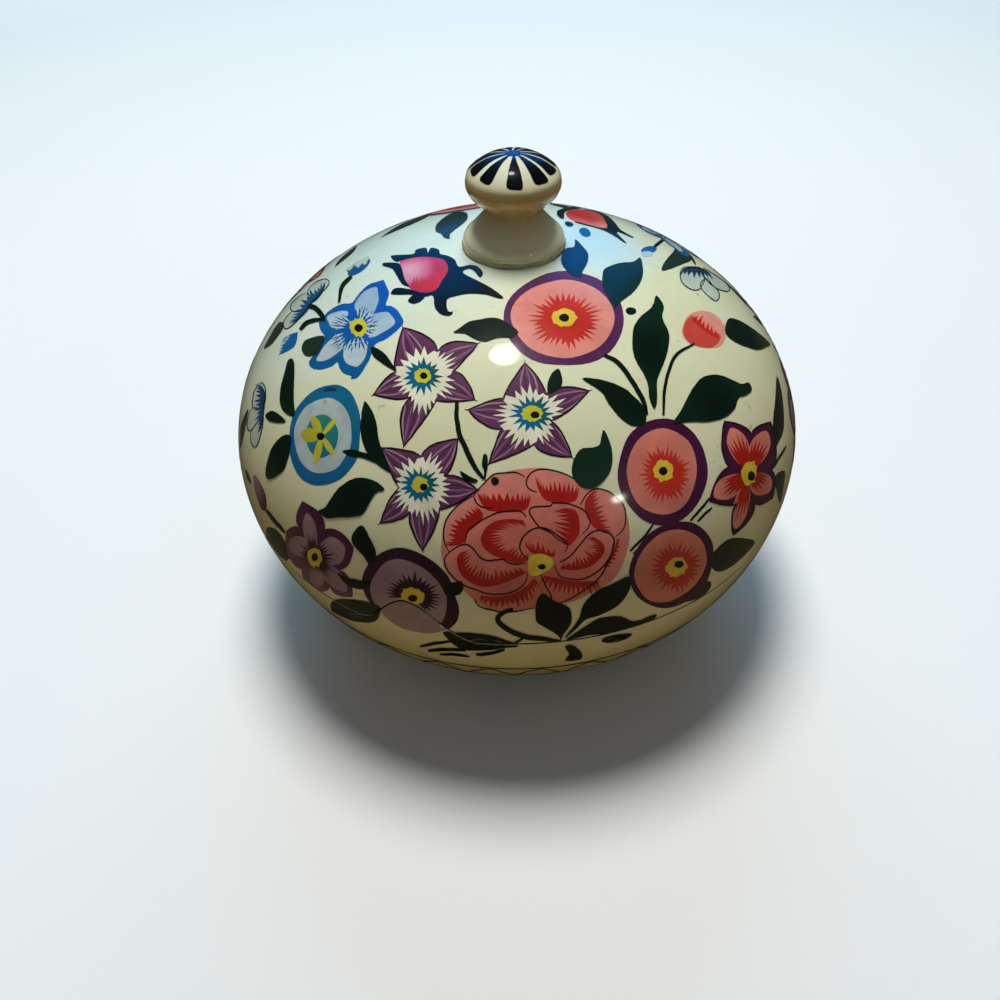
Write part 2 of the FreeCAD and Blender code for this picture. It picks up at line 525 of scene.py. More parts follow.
class Shader:
    """A material or a world under construction, with the object's own coordinates at hand."""

    def __init__(self, name, kind="materials"):
        self.material = getattr(bpy.data, kind).new(name)
        self.material.use_nodes = True
        self.tree = self.material.node_tree
        self.surface = self.tree.nodes.get("Principled BSDF") or self.tree.nodes["Background"]
        self.place = self.add("TexCoord").outputs["Object"]

    def add(self, kind, settings=None, **sockets):
        """A node with its settings, values and links."""
        node = self.tree.nodes.new("ShaderNode" + kind)
        for key, value in (settings or {}).items():
            setattr(node, key, value)
        for key, value in sockets.items():
            socket = node.inputs[int(key[1:])] if key[1:].isdigit() else node.inputs[key.replace("_", " ")]
            self.set(socket, value)
        return node

    def set(self, socket, value):
        """Gives a socket a value or a link."""
        if isinstance(value, bpy.types.NodeSocket):
            self.tree.links.new(value, socket)
        else:
            socket.default_value = value

    def finish(self, **sockets):
        """Sets the surface's own sockets."""
        for key, value in sockets.items():
            self.set(self.surface.inputs[key.replace("_", " ")], value)
        return self.material

    def noise(self, scale, detail=3.0, rough=0.5, distortion=0.0, place=None):
        """A cloudy pattern between 0 and 1."""
        return self.add("TexNoise", Vector=place or self.place, Scale=scale, Detail=detail,
                        Roughness=rough, Distortion=distortion).outputs["Fac"]

    def span(self, value, low, high, out_low=0.0, out_high=1.0):
        """A value spread from one span to another."""
        return self.add("MapRange", Value=value, From_Min=low, From_Max=high,
                        To_Min=out_low, To_Max=out_high).outputs["Result"]

    def blend(self, share, first, second, how="MIX"):
        """Two colours, blended."""
        node = self.add("Mix", {"data_type": "RGBA", "blend_type": how})
        colours = [s for s in node.inputs if s.type == "RGBA"]
        self.set(node.inputs["Factor"], share)
        for socket, value in zip(colours, (first, second)):
            self.set(socket, value if isinstance(value, bpy.types.NodeSocket) else (*linear(value), 1))
        return next(s for s in node.outputs if s.type == "RGBA")

    def stretched(self, x, y, z):
        """The object's coordinates, stretched along an axis."""
        return self.add("Mapping", Vector=self.place, Scale=(x, y, z)).outputs["Vector"]

    def bump(self, height, strength, distance, below=None):
        """Small unevenness."""
        node = self.add("Bump", Height=height, Strength=strength, Distance=distance)
        if below:
            self.set(node.inputs["Normal"], below)
        return node.outputs["Normal"]


MATERIALS = {}


def once(make):
    """Makes a material the first time it is asked for."""
    def kept():
        if make.__name__ not in MATERIALS:
            MATERIALS[make.__name__] = make()
        return MATERIALS[make.__name__]
    return kept


def varnished(shader, base_normal, **sockets):
    """The hand-laid varnish: clear, a little yellow and not quite even."""
    waves = shader.noise(55, 2, 0.4)
    flow = shader.bump(waves, 0.25, 0.0012)
    dull = shader.span(shader.noise(140, 4), 0.3, 0.75, 0.04, 0.13)
    return shader.finish(Normal=base_normal, Coat_Weight=1.0, Coat_Roughness=dull, Coat_IOR=1.5,
                         Coat_Tint=(1.0, 0.99, 0.93, 1), Coat_Normal=flow, **sockets)


@once
def cream_ground():
    """The cream ground: layered, faintly stained, with fine scuffs under the varnish; darker and yellower low
    down (partly yellowed varnish, partly painted shade), with painted bluish window light on its upper back
    side and a painted blue-lit shadow of the knob.
    """
    shader = Shader("cream_ground")
    height = shader.add("SeparateXYZ", Vector=shader.place).outputs["Z"]
    # Darker and yellower low on the body: partly yellowed varnish, partly painted shade and warm bounce light
    stains_and_painted_light = shader.blend(shader.span(height, 0.0, 0.075), CREAM_LOW_YELLOWED_AND_SHADED, CREAM)
    cloud = shader.span(shader.noise(32, 5, 0.6), 0.35, 0.75)
    stains_and_painted_light = shader.blend(cloud, stains_and_painted_light, shader.blend(0.65, stains_and_painted_light, CREAM_STAINED))
    bloom = shader.span(shader.noise(75, 4, 0.6, 0.8), 0.5, 0.8, 0, 0.5)
    stains_and_painted_light = shader.blend(bloom, stains_and_painted_light, CREAM_FRESH)
    # Painted bluish window light on the ground's upper back side
    side = shader.add("VectorMath", {"operation": "DOT_PRODUCT"}, _0=shader.place,
                      _1=PAINTED_WINDOW_LIGHT_WAY).outputs["Value"]
    stains_and_painted_light = shader.blend(shader.span(side, *PAINTED_WINDOW_LIGHT_SPAN), stains_and_painted_light, PAINTED_WINDOW_LIGHT, "MULTIPLY")
    # A painted shadow of the knob, lit blue by the window, round one pixel
    away = shader.add("VectorMath", {"operation": "DISTANCE"}, _0=shader.place,
                      _1=seen(PAINTED_KNOB_SHADOW_PIXEL)).outputs["Value"]
    stains_and_painted_light = shader.blend(shader.span(away, *PAINTED_KNOB_SHADOW_REACH, 0.75, 0), stains_and_painted_light, PAINTED_KNOB_SHADOW, "MULTIPLY")
    speck = shader.span(shader.noise(420, 3, 0.6), 0.68, 0.76, 0, 0.45)
    stains_and_painted_light = shader.blend(speck, stains_and_painted_light, CREAM_SPECKED)
    scuff = shader.noise(60, 6, 0.65, 2.5, shader.stretched(1.0, 2.4, 0.6))
    scuff = shader.span(scuff, 0.66, 0.72, 0, 0.35)
    stains_and_painted_light = shader.blend(scuff, stains_and_painted_light, CREAM_SCUFFED)
    grain = shader.noise(650, 3)
    rough = shader.span(shader.noise(120, 3), 0.3, 0.7, 0.35, 0.5)
    return varnished(shader, shader.bump(grain, 0.12, 0.0002), Base_Color=stains_and_painted_light, Roughness=rough)


@once
def brush_paint():
    """Brushed tempera: thinner and thicker places in every stroke."""
    shader = Shader("brush_paint")
    tint = shader.add("Attribute", {"attribute_name": "tint"}).outputs["Color"]
    streak = shader.noise(240, 4, 0.55, 0.6)
    thin = shader.span(streak, 0.3, 0.72)
    tint = shader.blend(1.0, tint, shader.blend(thin, PAINT_THIN, PAINT_FULL), "MULTIPLY")
    rough = shader.span(streak, 0.3, 0.7, 0.3, 0.45)
    return varnished(shader, shader.bump(streak, 0.2, 0.0002), Base_Color=tint, Roughness=rough)


@once
def black_lacquer():
    """The inside's black lacquer with soft brush marks."""
    shader = Shader("black_lacquer")
    marks = shader.noise(90, 4, 0.6, 0.8, shader.stretched(1, 1, 3.5))
    tone = shader.blend(shader.span(marks, 0.3, 0.8), LACQUER_DARK, LACQUER_LIGHT)
    rough = shader.span(marks, 0.3, 0.7, 0.2, 0.36)
    return shader.finish(Base_Color=tone, Roughness=rough, Normal=shader.bump(marks, 0.15, 0.0005))


@once
def knob_cream():
    """The knob's cream, yellowed towards its foot: the waist and the cap's lower flank darker and yellower,
    partly yellowed varnish and partly painted shade, and the foot painted brighter as painted light.
    """
    shader = Shader("knob_cream")
    height = shader.add("SeparateXYZ", Vector=shader.place).outputs["Z"]
    # Painted shade and yellowed varnish at the waist and the cap's lower flank, painted light on the shaded
    # foot
    tone = shader.blend(shader.span(height, *KNOB_WAIST_SPAN), KNOB_FOOT_PAINTED_LIGHT, KNOB_WAIST_YELLOWED_AND_SHADED)
    tone = shader.blend(shader.span(height, *KNOB_TOP_SPAN), tone, KNOB_TOP)
    cloud = shader.span(shader.noise(130, 4), 0.35, 0.8, 0, 0.4)
    tone = shader.blend(cloud, tone, KNOB_STAINED)
    rough = shader.span(cloud, 0, 1, 0.3, 0.42)
    return varnished(shader, shader.bump(shader.noise(500, 3), 0.1, 0.0002), Base_Color=tone, Roughness=rough)


@once
def glue_bead():
    """Yellowed glue round the knob's foot."""
    shader = Shader("glue_bead")
    cloud = shader.noise(300, 3)
    tone = shader.blend(shader.span(cloud, 0.3, 0.7), GLUE_DARK, GLUE_PALE)
    rough = shader.span(cloud, 0.3, 0.7, 0.18, 0.32)
    return shader.finish(Base_Color=tone, Roughness=rough, Normal=shader.bump(cloud, 0.3, 0.0004))


# The shells, the knob and its glue


def inside_shell(point):
    """Whether a place is on a shell's hidden side: its rim's face or its inner wall."""
    inset = SKIN + 0.3 * RIM_ROUND
    part = Vector((point.x, point.y, 0)).length_squared / (BODY_RADIUS - inset) ** 2
    part += ((point.z - EQUATOR) / rise_of(point.z, inset)) ** 2
    return point.z > SHELL_WALL / 2 and part < 1


def spun(name, profile, steps, material, body, warp=None, closed=True, lining=None):
    """A piece turned from a half section (how far out, height)."""
    bm = bmesh.new()
    verts = [bm.verts.new((x, 0, z)) for x, z in profile]
    pairs = list(zip(verts, verts[1:])) + ([(verts[-1], verts[0])] if closed else [])
    edges = [bm.edges.new(pair) for pair in pairs]
    bmesh.ops.spin(bm, geom=verts + edges, axis=(0, 0, 1), cent=(0, 0, 0), angle=TURN, steps=steps,
                   use_merge=True)
    bmesh.ops.remove_doubles(bm, verts=bm.verts[:], dist=WELD)
    if warp:
        for v in bm.verts:
            warp(v)
    bmesh.ops.recalc_face_normals(bm, faces=bm.faces[:])
    for face in bm.faces:
        face.smooth = True
        face.material_index = 1 if lining and inside_shell(face.calc_center_median()) else 0
    piece = made_object(name, bm, material)
    if lining:
        piece.data.materials.append(lining)
    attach(piece, body)
    return piece


def tab_warp(fade):
    """Carries the rim up along the body's wall to follow the tab, less and less up to a height."""
    def warp(v):
        out = v.co.xy.length
        share = (fade - v.co.z) / (fade - SEAM_HEIGHT)
        lift = seam_lift(math.atan2(v.co.y, v.co.x)) * max(0, min(1, share))
        if lift == 0 or out == 0:
            return
        axes = BODY_RADIUS - SKIN
        part = (out / axes) ** 2 + ((v.co.z - EQUATOR) / rise_of(v.co.z)) ** 2
        v.co.z += lift
        wall = axes * math.sqrt(part - ((v.co.z - EQUATOR) / rise_of(v.co.z)) ** 2)
        v.co.x *= wall / out
        v.co.y *= wall / out
    return warp


def oval_rows(low, high, inset, rows):
    """Rows along the body's wall from one height to another, evenly by angle."""
    low, high = [math.asin((h - EQUATOR) / rise_of(h, inset)) for h in (low, high)]
    section = []
    for i in range(rows + 1):
        angle = low + (high - low) * i / rows
        rise = rise_of(EQUATOR + angle, inset)
        section.append(((BODY_RADIUS - inset) * math.cos(angle), EQUATOR + rise * math.sin(angle)))
    return section


def rounded_rim(height, side):
    """The rim's outer edge: a small round from the wall into the rim's face."""
    corner = []
    for i in range(RIM_STEPS + 1):
        angle = math.pi / 2 * i / RIM_STEPS
        inset = SKIN + RIM_ROUND * (1 - math.cos(angle))
        level = height + side * RIM_ROUND * (1 - math.sin(angle))
        corner.append((oval_out(height + side * RIM_ROUND, inset), level))
    return corner


def top_height(out, inset):
    """The dome's height at a distance from the axis."""
    return EQUATOR + (DOME_RISE - inset) * math.sqrt(1 - (out / (BODY_RADIUS - inset)) ** 2)


def lid_painted_shell():
    """The lid's shell with its painted ground."""
    rim = SEAM_HEIGHT + SEAM_GAP
    section = oval_rows(top_height(TENON_HOLE, SKIN), rim + RIM_ROUND, SKIN, OUTER_ROWS)
    section += rounded_rim(rim, 1)[1:]
    section += oval_rows(rim, top_height(TENON_HOLE, SHELL_WALL), SHELL_WALL, INNER_ROWS)
    piece = spun("lid_painted_shell", section, ROUND_STEPS, cream_ground(), "lid", tab_warp(LID_FADE),
                 lining=black_lacquer())
    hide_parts("lid_shell")


def base_painted_shell():
    """The bowl's shell: it ends below in a flat foot with a soft edge."""
    foot = oval_out(0, 0)
    section = oval_rows(FOOT_EDGE / 2, SEAM_HEIGHT - RIM_ROUND, SKIN, OUTER_ROWS)
    section += rounded_rim(SEAM_HEIGHT, -1)[1:]
    section += oval_rows(SEAM_HEIGHT, SHELL_WALL, SHELL_WALL, INNER_ROWS)
    section.append((0, SHELL_WALL))
    section += [(share * foot, 0.0) for share in FOOT_RINGS]
    flat, corner, wall = Vector((foot - FOOT_EDGE, 0)), Vector((foot, 0)), Vector(section[0])
    section += [tuple(p) for p in geometry.interpolate_bezier(flat, corner, corner, wall, 7)][:-1]
    piece = spun("base_painted_shell", section, ROUND_STEPS, cream_ground(), "base", tab_warp(BASE_FADE),
                 lining=black_lacquer())
    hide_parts("base_shell")


# The knob's half section in millimetres: flared foot, waist and mushroom cap
KNOB_FOOT = [(9.0, 77.6), (8.61, 78.62), (7.28, 80.0), (5.65, 81.92), (4.7, 83.6)]
KNOB_CAP = [
    (4.7, 83.6), (5.8, 84.35), (7.35, 85.7), (8.15, 87.2), (8.2, 88.5), (7.6, 89.9), (4.95, 91.83),
    (2.31, 92.68), (0, 92.94),
]
KNOB_SINK = 75.8
# Where the rays that find the cap start, and the height taken where one misses
KNOB_ABOVE, CAP_NEAR = 100.0, 90.0
BEAD_OUT, BEAD_HEIGHT, BEAD_ROUND = 8.8, 76.75, 0.45
# The cap seen as an oval: its middle's height, and the squares of its half axes
CAP_MIDDLE, CAP_ACROSS, CAP_UPRIGHT = 87.4, 66, 30
STRIPE_AZIMUTHS = (-166, -133, -91, -50, -17, 12, 41, 72, 103, 133, 163)


def turned_knob():
    """The knob, turned in one run from its foot to its top."""
    curve = smooth([KNOB_FOOT[0]] * 2 + KNOB_FOOT[1:] + KNOB_CAP[1:], closed=False, steps=8)
    section = [(0, KNOB_SINK), (KNOB_FOOT[0][0], KNOB_SINK)] + [(max(0, p.x), p.y) for p in curve]
    section = [(x * MM, z * MM) for x, z in section]
    piece = spun("knob_turned", section, KNOB_STEPS, knob_cream(), "lid", closed=False)
    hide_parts("knob")
    return piece


def knob_stripes(knob):
    """The star of dark strokes that runs down the cap from a blue middle."""
    bm = bmesh.new()
    bm.from_mesh(knob.data)
    tree = BVHTree.FromBMesh(bm)
    bm.free()

    def cast(x, y):
        hit = tree.ray_cast(Vector((x, y, KNOB_ABOVE)) * MM, Vector((0, 0, -1)))[0]
        return hit or Vector((x, y, CAP_NEAR)) * MM

    def normal(point):
        above = point.z - CAP_MIDDLE * MM
        return Vector((point.x / CAP_ACROSS, point.y / CAP_ACROSS, above / CAP_UPRIGHT)).normalized()

    brush = Brush(KNOB_SEED)
    for azimuth in STRIPE_AZIMUTHS:
        azimuth = math.radians(azimuth + brush.rng.uniform(-2, 2))
        way = Vector((math.cos(azimuth), math.sin(azimuth)))
        side = Vector((-way.y, way.x)) * brush.rng.uniform(1.05, 1.3)
        end = brush.rng.uniform(6.9, 7.6)
        wedge = [
            way * 0.7 + side * 0.12,
            way * 3 + side * 0.5,
            way * 5.5 + side,
            way * end + side * 1.15,
            way * (end + 0.3) + side * 0.2,
            way * (end - 0.1) - side * 1.2,
            way * 5.5 - side,
            way * 3 - side * 0.45,
        ]
        brush.fill(smooth(wedge, steps=3), STRIPE_BLUE, 2, STRIPE_BLACK, (0, 0), 2.9)
    brush.dot((0, 0), 1.3, 1.3, STRIPE_MIDDLE, 1)
    brush.lay("knob_stripes", "lid", cast, base=3, cuts=KNOB_CUT, normal=normal)


def knob_glue_bead():
    """The glue that stands out round the knob's foot."""
    section = []
    for i in range(BEAD_STEPS):
        angle = TURN * i / BEAD_STEPS
        section.append(((BEAD_OUT + BEAD_ROUND * math.cos(angle)) * MM,
                        (BEAD_HEIGHT + BEAD_ROUND * math.sin(angle)) * MM))

    def uneven(v):
        way = Vector((v.co.x, v.co.y, 0)).normalized() * 1.3
        v.co.xy *= 1 + 0.014 * noise.noise(way * 1.7)
        v.co.z += 0.15 * MM * noise.noise(way * 2.9)

    piece = spun("knob_glue_bead", section, KNOB_STEPS, glue_bead(), "lid", uneven)
    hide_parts("knob_bead")


def dark_inside():
    """Black lacquer on the two linings and the collar."""
    for name in ("lid_lining", "base_lining", "locating_collar"):
        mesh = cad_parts[name].data
        mesh.materials.clear()
        mesh.materials.append(black_lacquer())


# Flowers, drawn at the photo's pixels


def heart(brush, centre, wide, tall, coat, colour=YELLOW, dot=None, turn=0):
    """The yellow heart with its black dot."""
    brush.fill(spiky(centre, wide, tall, 10, 0.14, turn, brush.rng), colour, coat)
    brush.dot(dot or centre, 0.3 * wide + 1, 0.3 * tall + 0.8, INK, coat + 1)


def rosette(brush, border, disc, fringe, middle, rim=PLUM, face=SALMON, dot=None, spikes=30):
    """A round flower in four rings, each given as its centre, width, height and turn."""
    brush.fill(oval(*border, count=44), mixed(rim, INK, 0.2), 0, rim, border[0], border[1])
    brush.fill(oval(*disc, count=40), face, 1, mixed(face, WHITE, 0.15), disc[0], disc[1])
    brush.fill(spiky(*fringe[:3], spikes, 0.36, fringe[3], brush.rng), RED, 2, mixed(RED, face, 0.3),
               fringe[0], fringe[1])
    heart(brush, *middle[:3], 3, YELLOW, dot, middle[3])


# A star petal's lines: how far aside each runs, and what its purple is mixed with; then the run of
# every line, as how far along the petal and how much of the way aside
STAR_LINES = ((-8, (WHITE, 0.3)), (-3, (INK, 0.4)), (2.5, (WHITE, 0.16)), (7, (INK, 0.3)),
              (9.5, (WHITE, 0.4)))
STAR_LINE_WIDE = 1.7
STAR_RUN = ((0.42, 1), (0.7, 0.75), (0.94, 0.12))


def star_flower(brush, centre, tips, notches, middle, dot, bulges):
    """A five-petalled flower: purple tips, a pale burst and a ring of blue and green strokes."""
    centre = Vector(centre)
    for i, tip in enumerate(tips):
        near, far = petal_sides(notches[i - 1], tip, notches[i], bulges[i])
        brush.fill(near + far[-2::-1] + [centre], mixed(PURPLE, INK, 0.3), 0, PURPLE, centre, 52)
        way = Vector(tip) - centre
        side = Vector((-way.y, way.x)).normalized()
        for out, tone in STAR_LINES:
            line = [centre + way * along + side * out * share for along, share in STAR_RUN]
            brush.stroke(line, STAR_LINE_WIDE, mixed(PURPLE, *tone), 0.5, start=0.3, end=0.1)
    for i, tip in enumerate(tips):
        brush.fill(burst(centre, notches[i - 1], tip, notches[i], 0.6, 6, brush.rng, waist=0.66), WHITE, 1)
    for i, tip in enumerate(tips):
        near, far = petal_sides(notches[i - 1], tip, notches[i], bulges[i])
        tail = Vector(tip) + (Vector(tip) - centre).normalized() * 3
        brush.fill(ribbon(shaky(near) + [tail], STAR_LINE_WIDE, start=0.5, end=0.3), INK, 2)
        brush.fill(ribbon(shaky(far), STAR_LINE_WIDE, start=0.4, end=0.6), INK, 3)
    brush.fill(spiky(centre, middle[0] + 12.5, middle[1] + 11.5, 17, 0.44, 0, brush.rng),
               TEAL, 4, GREEN, (centre.x - 14, centre.y + 6), 34)
    heart(brush, centre, *middle, 5, LEMON, dot)


def bordered_flower(brush, centre, tips, notches, petals, colours, middle, bulge, streak, turn,
                    dot=None, fade=None, line=0):
    """A five-petalled flower with a wide border. Each inner petal is given by its tip and width."""
    border, face, blush, shade = colours
    centre = Vector(centre)
    outline = []
    for i, tip in enumerate(tips):
        near, far = petal_sides(notches[i - 1], tip, notches[i], bulge)
        outline += near + far[-2:0:-1]
    brush.fill(shaky(outline), border, 0, *(fade or (mixed(border, INK, 0.25), centre, 60)))
    if line:
        brush.fill(ribbon(shaky(outline + outline[:1]), line, start=0.7, end=0.7), INK, 2.5)
    for x, y, wide in petals:
        tip = Vector((x, y))
        brush.fill(petal(centre.lerp(tip, 0.08), tip, wide), face, 1, blush, centre, 46)
        way = tip - centre
        side = Vector((-way.y, way.x)).normalized() * wide * 0.24
        spine = [centre + way * 0.16 - side, centre + way * 0.13, centre + way * 0.16 + side]
        root = centre - way * 0.22
        brush.fill(comb(spine, root, streak[0] * way.length, streak[1] * way.length, 6, brush.rng, taper=0.35,
                        away=True), shade, 2)
    heart(brush, centre, *middle, 3, YELLOW, dot, turn)


def star_left(brush):
    """The upper left star flower."""
    star_flower(brush, centre=(423, 376), middle=(9.5, 8.5), dot=(424, 376),
                tips=[(403, 328), (478, 344), (475, 400), (404, 446), (374, 395)],
                notches=[(438, 351), (454, 371), (436, 401), (411, 397), (395, 372)],
                bulges=[(0.08, 0.26), (0.26, 0.02), (0.24, 0.04), (0.04, 0.26), (0.14, 0.14)])


def star_right(brush):
    """The upper right star flower."""
    star_flower(brush, centre=(532, 414), middle=(12, 9), dot=(535, 415),
                tips=[(525, 363), (589, 391), (572, 457), (489, 464), (468, 410)],
                notches=[(546, 394), (551, 421), (534, 445), (501, 429), (503, 398)],
                bulges=[(0.06, 0.12), (0.24, 0.1), (0.14, 0.2), (0.04, 0.03), (0.22, 0.06)])


def star_low(brush):
    """The lower star flower."""
    star_flower(brush, centre=(420, 485), middle=(9.5, 9), dot=(424, 487),
                tips=[(382, 448), (458, 439), (478, 490), (423, 550), (380, 523)],
                notches=[(421, 456), (445, 476), (440, 510), (410, 513), (399, 488)],
                bulges=[(0.06, 0.12), (0.22, 0.16), (0.2, 0.08), (0.08, 0.16), (0.16, 0.1)])


def rosette_top(brush):
    """The rosette beside the knob."""
    rosette(brush, border=((564, 319), 61, 47.4, 0), disc=((562.6, 318.6), 51, 38, 0),
            fringe=((565.5, 320.5), 39, 30, 0), middle=((564, 318), 14.5, 10.5, 0), rim=PLUM_LIGHT, spikes=34)


def rosette_middle(brush):
    """The rosette under the bouquet."""
    rosette(brush, border=((662.4, 470.5), 45, 53.3, 0), disc=((662.6, 471.7), 35, 42.2, 0),
            fringe=((665, 474.7), 28, 31, 0), middle=((663, 471), 11, 12, 0), face=SALMON_DEEP)


def rosette_low(brush):
    """The rosette near the rim."""
    rosette(brush, border=((671.7, 564.3), 47.5, 38, -50), disc=((670.6, 565.6), 40, 31.5, -48),
            fringe=((676, 567.5), 28, 26, -30), middle=((676, 567), 12.5, 10, -30), face=SALMON_DEEP,
            dot=(678.6, 564), spikes=28)


def red_flower(brush):
    """The red flower at the right."""
    bordered_flower(brush, centre=(749, 473), middle=(8.5, 14), dot=(751, 476), turn=12,
                    tips=[(724, 421), (770, 422), (772, 498), (733, 535), (709, 501)],
                    notches=[(751, 434), (771, 470), (754, 504), (737, 503), (729, 467)],
                    petals=[(731, 428, 20), (766, 431, 19), (769, 492, 23), (735, 529, 15), (714, 497, 21)],
                    colours=(PLUM, SALMON_DEEP, SALMON, RED_DEEP), bulge=(0.2, 0.2), streak=(0.36, 0.36),
                    line=1.6)


def blue_flower(brush):
    """The blue flower at the upper left."""
    centre = Vector((358, 328))
    border = [
        (352, 303), (358, 295), (365, 287.5), (372, 283.5), (380, 281), (384, 280), (384, 280), (387, 287.5),
        (389, 293), (387.5, 299.5), (386, 305.5), (391, 306), (397, 310), (401.5, 316), (403.7, 321.5),
        (400.5, 327), (394, 333), (385.5, 339.5), (375.5, 344.5), (371, 356.5), (367.5, 363.5), (361, 373.5),
        (356, 378.5), (351, 379), (351.5, 376), (344, 373.5), (340, 369), (337.5, 362.5), (333.5, 365.5),
        (326.5, 368.5), (318.5, 370), (310.5, 367), (309.5, 361), (314.5, 354.5), (316.5, 347.5), (321, 342),
        (325, 337), (322, 332.5), (319, 322.5), (325.5, 314.5), (333.5, 308), (342.5, 304),
    ]
    brush.fill(shaky(smooth(border, steps=3), 0.4), BLUE_DEEP, 0, BLUE, (392, 294), 70)
    faces = [
        [
            (357, 311), (355, 307), (356, 302), (360.5, 295.5), (365.5, 291), (372, 288), (377, 287.5),
            (378.2, 294), (379, 300), (377, 306.5), (374.5, 312), (369, 317),
        ],
        [
            (370.5, 317.5), (376.5, 313.5), (386.5, 312), (391, 315.5), (395, 322.5), (389, 329), (380, 334),
            (374, 337), (368.5, 336),
        ],
        [
            (366.5, 341), (367.5, 347.5), (365.5, 356.5), (361.5, 363.5), (356, 367), (347, 363.5),
            (344, 358), (344, 352), (346.5, 345),
        ],
        [
            (343, 346), (341.5, 350), (333.5, 356.5), (324.5, 361), (316.5, 360.5), (319.5, 354),
            (324.5, 346), (332.5, 338.5), (337, 334),
        ],
        [
            (338.5, 329), (335.5, 329), (331, 327), (328.5, 321.5), (327, 317), (333.5, 313), (342.5, 311),
            (348, 312), (347, 317),
        ],
    ]
    for face in faces:
        brush.fill(shaky(smooth(face, steps=3), 0.4), mixed(BLUE_PALE, BLUE_BRIGHT, 0.2), 1, BLUE_PALE,
                   (380, 290), 60)
        first, last = Vector(face[0]), Vector(face[-1])
        brush.fill(comb([first, (first + last) / 2, last], centre, 0.2, 10, 7, brush.rng, taper=0.3,
                        away=True), mixed(BLUE, INK, 0.15), 2)
        for i in range(4):
            foot = first.lerp(last, (i + brush.rng.uniform(0.3, 0.7)) / 4)
            way = (foot - centre).normalized()
            brush.fill(ribbon([foot + way * 4, foot - way, foot - way * brush.rng.uniform(4, 7)], 1.8,
                              start=0.6, end=0.1), BLUE_PALE, 2.5)
    heart(brush, centre + Vector((0.5, -0.5)), 10.5, 10.5, 3, LEMON, (359, 328.3))


def ring_flower(brush):
    """The round blue flower with a windmill of yellow strokes."""
    rim = [
        (338.6, 385), (346.6, 388.6), (352.1, 394.1), (356.1, 402), (359.3, 411.7), (360.9, 422.8),
        (359.9, 438.8), (358.9, 450.8), (356.1, 461), (349.7, 470), (341.8, 478), (330.6, 483.5),
        (317.8, 485.4), (307.5, 482.7), (299.5, 476.3), (293.9, 466.7), (290.3, 454.7), (289.9, 442.8),
        (289.9, 430.8), (291.9, 419.7), (294.7, 411.7), (300.3, 403.7), (308.3, 395), (317.8, 388.6),
        (329.8, 385.2),
    ]
    face = [
        (329, 398), (335.4, 399.7), (341.8, 404.5), (347.4, 411.7), (350.9, 421.3), (351.7, 434.8),
        (350.5, 446.8), (344.2, 458.7), (337, 468.3), (325.8, 472.7), (314.7, 472.7), (305.9, 467.5),
        (299.5, 458.7), (295.9, 448.4), (294.3, 437.2), (295.1, 426.8), (298.7, 417.3), (305.9, 407),
        (314.7, 401.3), (321.8, 399),
    ]
    brush.fill(smooth(rim, steps=3), mixed(BLUE, SEA_GREEN, 0.3), 0, BLUE, (350, 405), 75)
    brush.stroke([(324, 391), (330, 389.5), (337, 390.5)], 4, mixed(BLUE, INK, 0.35), 0.5)
    brush.fill(shaky(smooth(face, steps=3), 0.4), MIST, 1)
    brush.stroke([(325.5, 399.5), (325, 404)], 3.5, mixed(MIST, RED, 0.25), 1.5)
    brush.fill(oval((322, 436), 16.5, 21.5), SEA_GREEN, 2, mixed(SEA_GREEN, BLUE, 0.75), (324, 420), 34)
    for x, y, wide, tone in ((337, 418, 5, 0), (334, 455, 6, 0.08), (315.3, 463.5, 7, 0.12),
                             (301, 434.5, 14, 0.3), (312.5, 416, 8, 0.2)):
        brush.fill(petal((322, 436), (x, y), wide), mixed(LEMON, OCHRE, tone), 3)
    brush.dot((321, 436.4), 3.8, 3.8, INK, 5)


def violet(brush):
    """The violet near the left of the rim."""
    bordered_flower(brush, centre=(315, 557), middle=(8, 11), turn=-10,
                    tips=[(303, 501), (354, 547), (353, 597), (321, 592), (286, 531)],
                    notches=[(325, 529), (340, 570), (330, 587), (302, 570), (299, 527)],
                    petals=[(307, 513, 13), (345, 547, 28), (347, 591, 16), (319, 587, 15), (290, 539, 19)],
                    colours=(PLUM, LILAC, mixed(LILAC, SALMON, 0.12), mixed(PLUM, INK, 0.4)),
                    bulge=(0.3, 0.3), streak=(0.18, 0.32), fade=(mixed(PLUM, LILAC, 0.7), (335, 515), 100))


def lavender_disc(brush):
    """The lavender half flower over the tab."""
    border = smooth([
        (377, 606), (367, 598), (362, 582), (366, 568), (376, 556), (394, 548), (412, 550), (433, 561),
        (448, 576), (453, 590), (459, 608), (457, 621), (448, 629), (441, 624), (425, 610), (400, 612),
    ])
    brush.fill(border, mixed(PLUM, INK, 0.2), 0, mixed(PLUM, INK, 0.4), (372, 600), 90)
    face = smooth([
        (377, 607), (371, 594), (371, 583), (376, 573), (386, 562), (401, 559), (420, 566), (435, 578),
        (444, 591), (447, 601), (445, 616), (440, 626), (446, 629), (433, 633), (418, 632), (400, 627),
        (386, 617),
    ])
    brush.fill(face, mixed(LILAC, WHITE, 0.15), 1, LILAC, (415, 632), 60)
    angles = [2.7 + 0.3 * i for i in range(16)]
    ring = [turned((413, 596), 12 * math.cos(a), 8 * math.sin(a), 12) for a in angles]
    brush.fill(comb(ring, (413, 596), 7, 10, 22, brush.rng, taper=0.1, away=True), mixed(PLUM, INK, 0.45), 2)
    heart(brush, (413, 596), 13, 9, 3, YELLOW, (413, 598), 12)


